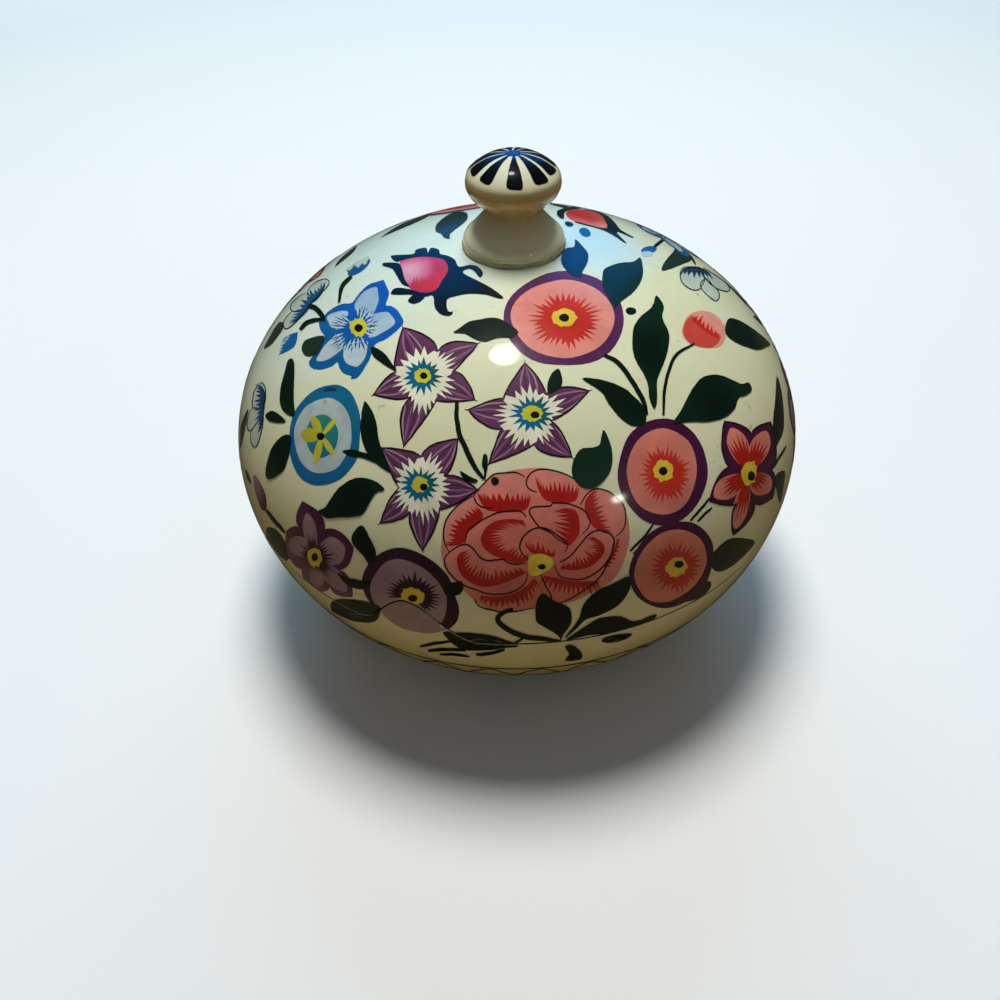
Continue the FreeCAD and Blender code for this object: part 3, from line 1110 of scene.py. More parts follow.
def half_flower(brush, lobes, spine, point, teeth, shade):
    """A pale flower seen from the side: outlined lobes, and blue strokes that fan out from its back."""
    for i, lobe in enumerate(lobes):
        outline = smooth(lobe, steps=3)
        brush.fill(outline, MIST, i / 2, MINT, point, 50)
        brush.fill(ribbon(shaky(outline + outline[:1], 0.4, 0.2), 1, start=0.5, end=1),
                   mixed(INK, GREEN, 0.4), 2)
    brush.fill(comb(smooth(spine, closed=False, steps=3), point, 4, 6.5, teeth, brush.rng, taper=0.3,
                    away=True), shade, 3)
    brush.stroke(spine, 1.6, mixed(shade, INK, 0.6), 4)


def half_flower_left(brush):
    """The blue half flower high at the left, with a blue bud under it."""
    half_flower(
        brush,
        [
            [
                (308, 293), (308.4, 290), (312.4, 285), (317, 281.8), (322.7, 279.6), (326.2, 279.1),
                (329, 280.8), (329.6, 283), (327.6, 287), (322.7, 292.3), (318.2, 297.7), (313, 302.6),
                (309.5, 300), (308.5, 296),
            ],
            [
                (307.5, 293.2), (302, 295), (296.8, 298.6), (292.3, 303), (290.5, 307.5), (291.4, 310.2),
                (295, 312), (301, 311), (308, 306), (313, 301.5), (310, 296),
            ],
            [
                (292.3, 311.5), (288.8, 314.6), (285.2, 319.6), (283.8, 323.6), (284.7, 328.5), (288, 328.5),
                (293.2, 325), (297.7, 320.4), (303, 315.5), (308, 309.3), (302, 309.5), (296, 311.5),
            ],
        ],
        [
            (325.4, 286.5), (322.4, 291.2), (318, 296.6), (312.6, 301.8), (308, 308), (302.6, 314.4),
            (297.4, 319.6), (294, 322.7),
        ],
        (322, 312),
        15,
        mixed(BLUE, INK, 0.15),
    )
    brush.fill(leaf((298, 332), (279, 355), 13), BLUE, 0, BLUE_BRIGHT, (298, 332), 40)
    brush.fill(comb([(289, 335), (283, 342), (279.5, 350), (279, 355)], (304, 336), 0.6, 4.5, 6, brush.rng),
               BLUE_PALE, 1)


def half_flower_edge(brush):
    """The pale half flower at the left edge."""
    half_flower(
        brush,
        [
            [
                (261, 382.7), (257.4, 386.2), (254.4, 391.3), (253.1, 398), (252.6, 404), (253.5, 408),
                (257.5, 408.5), (263.5, 410.5), (265.1, 403.6), (265.9, 395.4), (265.6, 389.3),
                (263.6, 384.2),
            ],
            [
                (253, 408.2), (249.8, 411.7), (248.3, 418.4), (247.5, 424), (247.8, 428.6), (250.3, 430.6),
                (253, 429), (255.5, 425), (259.5, 419), (262.6, 413.3), (259, 408.7),
            ],
            [
                (251.5, 431), (250.8, 437.2), (251.8, 443.4), (254.4, 446.9), (257, 445.4), (259.5, 439.3),
                (261.5, 432), (263, 424), (263.6, 416.8), (259.5, 419), (255.5, 425.5),
            ],
        ],
        [(261.5, 386), (264.6, 392), (264.8, 400), (263.8, 408), (263.2, 416), (262.6, 424), (260.8, 430)],
        (285, 396),
        14,
        mixed(BLUE, INK, 0.3),
    )


def half_flower_right(brush):
    """The pale half flower high at the right."""
    half_flower(
        brush,
        [
            [
                (694, 267.2), (687.3, 266.8), (682.4, 268), (680.3, 271.5), (680, 275.5), (680.8, 280),
                (683.8, 284.8), (689, 288.8), (694.5, 290.3), (698.5, 289.8), (701, 287), (704, 281),
                (703, 273), (700, 268),
            ],
            [
                (701.6, 289.3), (705.2, 293.3), (709.6, 297.3), (713.2, 300), (716.3, 300.9), (719, 298.2),
                (719.2, 294.6), (717.2, 290.2), (712, 285.3), (707, 279), (702, 281), (700.5, 285),
            ],
            [
                (711.4, 285.3), (716.3, 288.4), (722, 290.6), (726.6, 291.5), (729.3, 290), (729.2, 287.3),
                (725.3, 283), (720.4, 279), (714, 274.6), (708.8, 271.4), (703, 268.5), (702, 274),
                (706, 280),
            ],
        ],
        [(682, 270), (687, 268), (694, 268), (700, 269), (706, 271.5), (710, 274.5)],
        (692, 250),
        9,
        mixed(BLUE, INK, 0.4),
    )


def pink_bud(brush):
    """The pink bud in its navy calyx with curled ends."""
    bloom = [
        (400, 264), (403, 258), (427, 256), (440, 257), (449, 264), (448, 272), (442, 283), (435, 292),
        (423, 293), (412, 290), (406, 282),
    ]
    brush.fill(smooth(bloom), PINK_PALE, 0, PINK, (408, 272), 26)
    spine = [(448, 262), (448, 272), (441, 283), (433, 291), (420, 291), (411, 286)]
    brush.fill(comb(spine, (417, 267), 5, 12, 11, brush.rng), mixed(RED, PINK, 0.3), 1)
    calyx = [
        [
            (391, 256), (403, 255), (414, 254), (416, 250), (426, 248), (428, 253), (431, 248), (439, 250),
            (440, 254), (448, 256), (455, 260), (459, 267), (470, 265), (478, 267), (483, 273), (480, 278),
            (475, 272), (469, 269), (463, 273), (478, 281), (491, 288), (503, 297), (500, 299), (486, 295),
            (470, 294), (457, 296), (447, 300), (448, 311), (453, 312), (450, 316), (442, 315), (435, 308),
            (433, 296), (425, 297), (411, 295), (397, 295), (391, 294), (394, 289), (401, 288), (412, 290),
            (424, 293), (436, 290), (442, 281), (448, 271), (446, 262), (438, 258), (420, 257), (404, 260),
            (396, 262),
        ],
        [
            (394, 271), (390, 268), (383, 266), (384, 263), (396, 263), (401, 266), (405, 280), (410, 287),
            (402, 284),
        ],
        [(425, 296), (420, 302), (413, 304), (408, 301), (414, 295)],
    ]
    for outline in calyx:
        brush.fill(smooth(outline, steps=3), NAVY, 2)


def salmon_bud(brush):
    """The salmon bud behind the knob, with its dark calyx and a leaf."""
    bloom = [
        (-24, -12), (-16, -32), (-4, -44), (8, -45), (14.5, -28), (15.5, -4), (13.6, 18.6), (3.8, 21),
        (-7, 18.6), (-16, 15), (-22.5, 5),
    ]
    brush.fill(smooth(bloom), RED, 0, SALMON, (-14, -18), 38)
    calyx = [
        (0, -52), (12, -54), (20, -38), (24, -10), (27, 12), (38, 23), (36, 26), (25, 21), (22, 24), (25, 34),
        (29, 44), (25, 43), (18, 34), (8, 25), (-6, 21), (-17, 17), (-16, 13), (-6, 17), (5, 19.5), (13, 16),
        (14, -4), (13, -28), (7, -43), (-3, -47),
    ]
    brush.fill(smooth(calyx, steps=3), LEAF, 2)
    side_leaf = [
        (-10, -60), (-3, -56), (-9, -42), (-17, -30), (-25, -14), (-28, 10), (-33, 2), (-32, -16), (-24, -34),
        (-16, -50),
    ]
    brush.fill(smooth(side_leaf, steps=3), LEAF, 1)
    brush.dot((-24, 23), 4, 7, LEAF, 1)


def single_leaf(brush):
    """One plain leaf."""
    brush.fill(leaf((-32, 0), (32, 0), 21, 0.06), LEAF, 0, LEAF_LIGHT, (0, 0), 40)


def blue_dab(brush):
    """A single dab of blue."""
    brush.dot((0, 0), 5.5, 11, BLUE)


def red_bud(brush):
    """The round red bud on the bouquet's stem."""
    bloom = [
        (682, 330), (687, 317), (699, 311), (712, 313), (722, 322), (726, 332), (722, 344), (713, 348),
        (699, 347), (689, 343), (683, 336),
    ]
    brush.fill(smooth(bloom), SALMON, 0, mixed(SALMON, WHITE, 0.2), (704, 330), 24)
    heel = [
        (693, 316), (685, 323), (683, 332), (687, 341), (697, 346), (709, 348), (717, 344), (720, 335),
        (706, 329),
    ]
    brush.fill(smooth(heel), mixed(RED, SALMON, 0.35), 1)
    spine = [(691, 320), (697, 325), (704, 331), (711, 336), (719, 339)]
    brush.fill(comb(spine, (712, 300), 1, 10, 6, brush.rng, taper=0.4), RED, 2)


def blue_buds(brush):
    """The small blue bud above the blue flower."""
    pale = [
        (346.5, 270.5), (350, 266.8), (354, 263.4), (360, 260.2), (365.3, 257.2), (368.5, 256.5),
        (370.4, 259), (368, 265), (362, 269), (354, 272),
    ]
    brush.fill(smooth(pale, steps=3), mixed(BLUE_PALE, BLUE_BRIGHT, 0.15), 0, MINT, (362, 270), 18)
    blue = [
        (352.2, 275.4), (347.1, 275.4), (348.7, 273.2), (346.5, 270.3), (350, 270.6), (352.2, 268.7),
        (354.1, 265.2), (356.7, 267.1), (358.6, 268.1), (360.5, 265.5), (362.4, 263), (364.3, 265.2),
        (366.3, 264.2), (368.5, 259.1), (370.4, 259.8), (370.4, 262), (367.8, 265.8), (363.7, 270),
        (359.2, 273.2), (354.1, 275.4),
    ]
    brush.fill(blue, mixed(BLUE, INK, 0.1), 1, BLUE_BRIGHT, (348, 275), 30)


def purple_bud(brush):
    """The purple bud at the left edge."""
    brush.fill(smooth([(254, 475), (260, 482), (266, 496), (266, 510), (261, 508), (255, 490)]), LILAC, 0,
               PLUM, (256, 482), 24)


def blue_dabs(brush):
    """Blue brush dabs behind the olive leaf."""
    brush.fill(oval((649, 250), 8, 3.6, -10), BLUE)
    brush.fill(oval((647, 254), 6, 2.6), BLUE_PALE, 1)


# The rose: outlines read on a close view of the photo, in its own units
ROSE_CORNER = (430, 460)
ROSE_UNIT = 1 / 7.467
ROSE_BLOOM = [
    (85, 620), (110, 480), (180, 360), (330, 240), (450, 130), (600, 80), (760, 60), (900, 70), (1080, 150),
    (1200, 215), (1330, 230), (1440, 330), (1490, 520), (1470, 680), (1390, 870), (1240, 970), (1080, 1050),
    (900, 1090), (780, 1110), (620, 1135), (480, 1130), (350, 1060), (240, 960), (120, 830), (85, 700),
]
ROSE_LINES = [
    [(325, 265), (460, 120), (560, 95), (640, 95), (710, 125)],
    [(325, 265), (350, 320), (400, 355), (480, 360)],
    [
        (800, 240), (740, 215), (720, 160), (750, 100), (820, 70), (900, 75), (980, 95), (1070, 135),
        (1180, 215),
    ],
    [
        (1120, 330), (1160, 270), (1210, 225), (1260, 215), (1330, 235), (1400, 290), (1450, 350),
        (1460, 430), (1440, 520), (1385, 570),
    ],
    [
        (965, 760), (1040, 720), (1110, 640), (1160, 580), (1220, 535), (1280, 525), (1340, 550), (1375, 600),
        (1360, 680), (1310, 770), (1240, 840), (1150, 885), (1050, 890), (980, 870), (945, 830), (930, 780),
    ],
    [(1375, 600), (1340, 740), (1260, 880), (1150, 970), (1040, 1040), (970, 1065)],
    [
        (1025, 635), (960, 590), (880, 530), (820, 500), (770, 440), (745, 390), (760, 355), (830, 345),
        (900, 340), (920, 320), (1000, 320), (1080, 340), (1140, 370), (1180, 410), (1195, 460), (1180, 510),
        (1140, 550),
    ],
    [
        (735, 740), (690, 700), (670, 650), (690, 580), (740, 530), (800, 505), (880, 515), (1020, 620),
        (1005, 690),
    ],
    [(720, 425), (680, 385), (600, 380), (500, 395), (400, 440), (320, 500), (280, 540), (255, 625)],
    [
        (140, 690), (200, 650), (270, 630), (320, 660), (370, 720), (430, 750), (500, 745), (545, 740),
        (590, 765), (650, 780), (720, 770),
    ],
    [(320, 270), (220, 330), (150, 400), (110, 480), (100, 560), (115, 630), (140, 690)],
    [
        (140, 690), (110, 740), (125, 810), (180, 880), (250, 930), (350, 970), (450, 1000), (550, 1000),
        (630, 980), (700, 930), (725, 870), (720, 830),
    ],
    [(330, 1040), (370, 1090), (450, 1120), (560, 1135), (660, 1125), (780, 1105)],
    [(825, 860), (870, 950), (905, 1010), (905, 1040)],
]
# Its red shading: the edge that a patch starts from, the point that its teeth lean to, how wide its
# body is, its teeth's length and count, and whether they lean away from the point instead
ROSE_SHADES = [
    ([(365, 290), (400, 345), (450, 380), (620, 390), (720, 368), (748, 300)], (590, 1000), 85, 60, 21, True),
    ([
        (792, 160), (815, 235), (870, 305), (980, 318), (1085, 305), (1110, 225),
    ], (960, 1000), 80, 75, 20, True),
    ([(1215, 235), (1160, 300), (1160, 400), (1215, 495), (1300, 545)], (900, 520), 75, 75, 17, True),
    ([(395, 395), (385, 450), (290, 520), (250, 620), (150, 640)], (640, 680), 80, 65, 16, True),
    ([
        (690, 448), (600, 440), (500, 452), (420, 500), (380, 580), (400, 650), (470, 710), (560, 740),
        (650, 775), (730, 750),
    ], (760, 540), 55, 105, 22, False),
    ([(1000, 360), (1080, 370), (1115, 450), (1110, 560), (1040, 640)], (740, 430), 60, 150, 9, False),
    ([(715, 640), (745, 680), (780, 702), (850, 716), (930, 722)], (830, 980), 30, 75, 9, True),
    ([
        (1215, 570), (1290, 620), (1300, 690), (1220, 780), (1100, 822), (970, 812),
    ], (1080, 620), 36, 80, 16, False),
    ([
        (230, 690), (200, 740), (230, 850), (330, 930), (450, 945), (600, 900), (715, 840),
    ], (470, 600), 50, 90, 20, False),
    ([
        (380, 1010), (500, 1018), (620, 1000), (720, 940), (780, 885), (830, 960),
    ], (560, 500), 40, 70, 17, True),
    ([(850, 860), (980, 885), (1100, 905), (1250, 900)], (1050, 560), 36, 105, 13, True),
    ([(1395, 590), (1360, 700), (1290, 800)], (1150, 640), 14, 40, 9, True),
]
ROSE_HEART = [(740, 730), (800, 700), (870, 710), (920, 750), (900, 810), (830, 850), (780, 865), (740, 840)]


def rose_points(points):
    """Points of the close view as pixels of the photo."""
    return [Vector(ROSE_CORNER) + Vector(p) * ROSE_UNIT for p in points]


def rose(brush):
    """The big rose: salmon petals, toothed red shading and thin dark outlines."""
    brush.fill(smooth(rose_points(ROSE_BLOOM), steps=3), SALMON_DEEP, 0, mixed(SALMON, WHITE, 0.12),
               (541, 565), 95)
    for spine, point, body, tooth, count, away in ROSE_SHADES:
        spine = smooth(rose_points(spine), closed=False, steps=3)
        point = rose_points([point])[0]
        brush.fill(comb(spine, point, body * ROSE_UNIT, tooth * ROSE_UNIT, count, brush.rng, taper=0.55,
                        away=away), RED_DEEP, 1)
    for line in ROSE_LINES:
        brush.stroke(rose_points(line), 1.5, INK, 2, start=0.7, end=0.5)
    brush.fill(smooth(rose_points(ROSE_HEART)), YELLOW, 3)
    brush.dot((541.8, 566.5), 4, 2.6, INK, 4)


# Leaves and stems, drawn at the photo's pixels: outlines by group, then strokes with their widths
LEAVES = {
    "bouquet": [
        (LEAF, [
            (656, 296), (664, 307), (662, 318), (669, 336), (666, 357), (657, 380), (657, 399), (654, 409),
            (649, 398), (647, 381), (634, 357), (632, 336), (637, 321), (651, 308),
        ]),
        (LEAF, [
            (582, 379), (595, 379), (600, 380), (622, 387), (637, 400), (645, 410), (645, 423), (632, 426),
            (617, 415), (608, 403), (600, 391),
        ]),
        (LEAF, [
            (673, 422), (682, 408), (692, 389), (703, 377), (716, 375), (728, 378), (740, 384), (748, 383),
            (751, 390), (745, 396), (738, 398), (734, 409), (725, 417), (708, 422), (689, 422), (676, 424),
        ]),
    ],
    "bud": [
        (LEAF, [
            (725, 326), (729, 319), (740, 321), (754, 330), (769, 343), (766, 347), (756, 350), (740, 345),
            (729, 338), (725, 332),
        ]),
    ],
    "rosette": [
        (LEAF_GREEN, [
            (602, 278), (604, 269), (618, 264), (634, 262), (640, 258), (643, 269), (641, 281), (631, 294),
            (619, 303), (615, 308), (609, 298), (603, 288),
        ]),
        (LEAF_BLUE, [
            (575, 240), (582, 246), (588, 254), (587, 263), (582, 272), (581, 277), (572, 275), (563, 266),
            (561, 257), (566, 249), (574, 247),
        ]),
        (LEAF, [
            (454, 333), (457, 330), (469, 322), (480, 320), (494, 318), (503, 321), (516, 330), (518, 334),
            (511, 338), (497, 338), (486, 342), (476, 340), (465, 334),
        ]),
    ],
    "horizon": [
        (LEAF_OLIVE, [(662, 267), (665, 271), (688, 262), (692, 257), (676, 245), (674, 251), (668, 258)]),
    ],
    "knob_left": [
        (LEAF_OLIVE, [
            (437, 225), (436, 231), (441, 234), (444, 238), (450, 239), (450, 234), (463, 224), (468, 218),
            (466, 213), (454, 213), (445, 218),
        ]),
    ],
    "rose_sprig": [
        (LEAF, [(559, 369), (562, 378), (560, 388), (549, 394), (547, 388), (549, 379), (553, 372)]),
        (LEAF_GREEN, [
            (604, 430), (611, 447), (612, 460), (608, 475), (596, 487), (584, 488), (574, 479), (572, 467),
            (579, 450), (590, 448), (599, 445), (601, 436),
        ]),
        (LEAF_TEAL, [(484, 454), (488, 457), (487, 471), (482, 466)]),
        (LEAF, [(460, 471), (469, 476), (478, 480), (474, 483), (464, 479)]),
    ],
    "blue_flower": [
        (LEAF, [(372, 347), (383, 352), (392, 363), (396, 371), (386, 366), (374, 356)]),
        (LEAF_OLIVE, [(302, 349), (306, 341), (317, 337), (325, 338), (319, 352), (312, 356), (305, 355)]),
        (LEAF_OLIVE, [(265, 346), (279, 323), (284, 327), (273, 343), (266, 348)]),
    ],
    "ring_flower": [
        (LEAF, [(289, 360), (295, 364), (294, 398), (295, 416), (283, 410), (280, 395), (285, 373)]),
        (LEAF, [(266, 415), (273, 411), (282, 416), (286, 421), (280, 423), (270, 421)]),
        (LEAF, [
            (291, 436), (283, 436), (271, 450), (266, 474), (271, 479), (283, 471), (289, 457), (291, 444),
        ]),
        (LEAF, [
            (365, 401), (370, 407), (374, 415), (377, 425), (378.5, 436), (380, 443), (382.5, 451),
            (386, 460), (390, 472), (381, 467), (373, 460), (367, 451.5), (363.8, 445), (361.3, 436),
            (360.9, 423), (363, 408.5),
        ]),
        (LEAF, [
            (342.5, 451), (350, 449.8), (358, 450.8), (366, 453), (373, 456), (379, 462), (388, 471),
            (376, 463), (362, 458), (350, 456), (345.5, 453.8),
        ]),
    ],
    "star_low": [
        (LEAF, [
            (319, 511), (326, 507), (339, 488), (356, 478), (373, 480), (384, 488), (383, 491), (375, 494),
            (364, 513), (353, 517), (338, 517), (327, 518),
        ]),
    ],
    "left_edge": [
        (LEAF_OLIVE, [(247, 410), (248, 413), (244, 435), (241, 448), (240, 440), (241, 425)]),
        (LEAF_OLIVE, [(245, 468), (249, 474), (252, 484), (247, 479)]),
        (LEAF_OLIVE, [(266, 528), (275, 529), (284, 539), (290, 551), (287, 561), (275, 551), (268, 542)]),
    ],
    "violet": [
        (LEAF, [
            (362, 525), (370, 537), (376, 550), (375, 559), (370, 565), (365, 557), (355, 546), (352, 536),
        ]),
        (LEAF, [(444, 589), (448, 583), (455, 582), (462, 581), (464, 588), (459, 594), (447, 595)]),
        (LEAF, [(337, 572), (347, 577), (360, 580), (370, 582), (368, 588), (356, 588), (346, 583)]),
    ],
    "rosette_low": [
        (LEAF_OLIVE, [(711, 556), (726, 540), (742, 538), (755, 543), (735, 564), (719, 572), (711, 566)]),
        (LEAF_OLIVE, [(686, 601), (691, 587), (709, 581), (711, 587), (704, 595), (694, 600)]),
    ],
    "right_edge": [
        (LEAF, [(777, 376), (783, 400), (784, 425), (780, 440), (772, 452), (773, 420), (775, 400)]),
        (LEAF_OLIVE, [(775, 477), (785, 471), (783, 490), (779, 503)]),
    ],
    "bottom": [
        (LEAF, [
            (543, 593), (555, 601), (570, 608), (571, 623), (563, 635), (561, 640), (558, 635), (543, 626),
            (536, 620), (536, 603),
        ]),
        (LEAF, [
            (564, 638), (579, 618), (583, 605), (596, 591), (616, 582), (628, 576), (630, 588), (618, 605),
            (599, 615), (586, 619), (573, 631),
        ]),
        (LEAF, [
            (566, 640), (579, 630), (599, 618), (621, 616), (634, 621), (656, 614), (651, 621), (634, 630),
            (613, 633), (588, 635),
        ]),
    ],
    "seam_left": [
        (LEAF_OLIVE, [
            (335, 599), (359, 600), (378, 605), (381, 611), (375, 621), (356, 621), (338, 614), (331, 608),
        ]),
    ],
    "tab": [
        (LEAF, [
            (443, 632), (455, 632), (475, 633), (495, 636), (519, 645), (500, 648), (485, 650), (460, 648),
        ]),
    ],
    "under_seam": [
        (LEAF_OLIVE, [(565, 646), (573, 645), (581, 652), (580, 659), (565, 660), (569, 654)]),
        (LEAF, [(602, 639), (612, 635), (631, 633), (627, 638), (614, 642), (604, 642)]),
    ],
}
STEMS = {
    "bouquet": [
        ([(604, 355), (619, 364), (632, 382), (643, 401), (647, 415)], 4.5),
        ([(663, 415), (664, 391), (668, 372), (676, 355), (694, 344)], 3.2),
    ],
    "rose_sprig": [
        ([(457, 401), (457, 419), (460, 436), (464, 444), (474, 465), (484, 479)], 5),
        ([(484, 455), (485, 466), (485, 480)], 2.5),
    ],
    "blue_flower": [
        ([(352, 276.5), (347.8, 280), (344, 284), (341.5, 290), (339.5, 303)], 4),
        ([(308, 306.5), (315, 308), (320.5, 313), (324.5, 321)], 5),
        ([(300.3, 330), (305.7, 324.5), (312.4, 321), (324, 319.5)], 4.2),
    ],
    "left_edge": [([(266, 510), (275, 521), (285, 533)], 4)],
    "horizon": [([(654, 247), (666, 238)], 3.5), ([(687, 253), (692, 258.5), (696, 265)], 2.2)],
    "bottom": [([(513, 609), (502, 613), (498, 620), (506, 628), (521, 635), (546, 639), (561, 641)], 5)],
    "red_flower": [
        ([(690, 521), (700, 510), (709, 498)], 2.6),
        ([(697, 522), (705, 514), (712, 508)], 2.6),
        ([(630, 551), (643, 538), (654, 523)], 2.6),
        ([(633, 554), (645, 544), (656, 535)], 2.6),
    ],
    "right_edge": [([(771, 470), (779, 458), (786, 446)], 2.6)],
    "tab": [
        ([(420, 646), (434, 643), (452, 641)], 2.6),
        ([(428, 650), (446, 649), (466, 650)], 3),
        ([(440, 654), (454, 654), (470, 656)], 2.2),
        ([(476, 654), (490, 653), (505, 649)], 3),
        ([(514, 643), (519, 640), (524, 637)], 2.4),
    ],
}
# Pale streaks drawn across some leaves, in leaf green mixed with cream
PALE_MARKS = {
    "tab": [
        [(470, 640), (480, 638), (488, 641)],
        [(476, 644), (486, 643), (498, 645)],
        [(494, 640), (503, 642)],
    ],
    "seam_left": [[(348, 612), (356, 614), (368, 613)], [(352, 617), (362, 617)]],
    "under_seam": [[(606, 639), (613, 637)], [(612, 641), (620, 639)]],
}
DOTS = {"rose_sprig": (495, 481, 4, 4), "horizon": (631, 311, 5.5, 4)}


def greenery(group):
    """Paints one group of leaves with its stems."""
    def paint(brush):
        for points, width in STEMS.get(group, []):
            brush.stroke(points, width, LEAF, 1, start=0.7, end=0.5)
        for colour, outline in LEAVES.get(group, []):
            middle = sum((Vector(p) for p in outline), Vector((0, 0))) / len(outline)
            brush.fill(shaky(smooth(outline, steps=3)), colour, 0, mixed(colour, LEAF_LIGHT, 0.5), middle, 30)
        # The pale streaks over the leaves
        for points in PALE_MARKS.get(group, []):
            brush.stroke(points, 0.9, mixed(LEAF, CREAM, 0.45), 2)
        if group in DOTS:
            x, y, wide, tall = DOTS[group]
            brush.dot((x, y), wide, tall, LEAF, 0)
    return paint


# Where the photo shows each motif: its pixel, and the coat that it starts on
FLOWER_COAT = 4
LEAF_COAT = 12
LOW_LEAF_COAT = 1
UNDER_FLOWERS = ("rosette_low", "red_flower", "right_edge", "left_edge", "horizon")
IN_PHOTO = [
    ("star_flower_left", star_left, (423, 376)),
    ("star_flower_right", star_right, (532, 414)),
    ("star_flower_low", star_low, (420, 485)),
    ("rosette_top", rosette_top, (564, 319)),
    ("rosette_middle", rosette_middle, (662, 470)),
    ("rosette_low", rosette_low, (672, 563)),
    ("red_flower", red_flower, (749, 473)),
    ("blue_flower", blue_flower, (358, 328)),
    ("ring_flower", ring_flower, (325, 435)),
    ("violet_flower", violet, (318, 555)),
    ("half_flower_left", half_flower_left, (303, 305)),
    ("half_flower_edge", half_flower_edge, (257, 415)),
    ("half_flower_right", half_flower_right, (704, 282)),
    ("pink_bud", pink_bud, (430, 278)),
    ("red_bud", red_bud, (704, 330)),
    ("blue_buds", blue_buds, (360, 268)),
    ("purple_bud", purple_bud, (260, 492)),
    ("blue_dabs", blue_dabs, (648, 250)),
    ("big_rose", rose, (537, 541)),
]
LEAF_PLACES = {
    "bouquet": (660, 370), "bud": (747, 334), "rosette": (560, 290), "horizon": (690, 262),
    "knob_left": (430, 225), "rose_sprig": (520, 440), "blue_flower": (340, 330), "ring_flower": (320, 430),
    "star_low": (351, 498), "left_edge": (262, 500), "violet": (380, 560), "rosette_low": (720, 570),
    "right_edge": (779, 430), "bottom": (580, 615), "red_flower": (670, 525),
}


def paint_front():
    """The lid's flowers and leaves that the photo shows."""
    for seed, (name, paint, pixel) in enumerate(IN_PHOTO):
        brush = Brush(seed)
        paint(brush)
        brush.lay(name, "lid", *on_photo(*pixel), base=FLOWER_COAT, keep=above_seam)
    for seed, (group, pixel) in enumerate(LEAF_PLACES.items()):
        brush = Brush(seed)
        greenery(group)(brush)
        low = LOW_LEAF_COAT if group in UNDER_FLOWERS else LEAF_COAT
        brush.lay("leaves_" + group, "lid", *on_photo(*pixel), base=low, keep=above_seam)


def sprig(length, count, bend):
    """Makes a branch: a bent stem with leaves to both sides and one at its end."""
    def paint(brush):
        points = [(0, 0), (bend * 0.35, -length / 2), (bend, -length)]
        brush.stroke(points, 4, LEAF, 1, start=0.8, end=0.4)
        stem = smooth(points, closed=False)
        for i in range(count):
            foot = stem[int((i + 0.5) / count * (len(stem) - 1))]
            side = 1 if i % 2 else -1
            tip = foot + Vector((side * brush.rng.uniform(26, 38), -brush.rng.uniform(12, 30)))
            brush.fill(leaf(foot, tip, brush.rng.uniform(15, 21), side * 0.12), LEAF, 0, LEAF_LIGHT, foot, 60)
        brush.fill(leaf(stem[-1], stem[-1] + Vector((bend * 0.3, -34)), 17), LEAF_TEAL, 0, LEAF_LIGHT,
                   stem[-1], 60)
    return paint


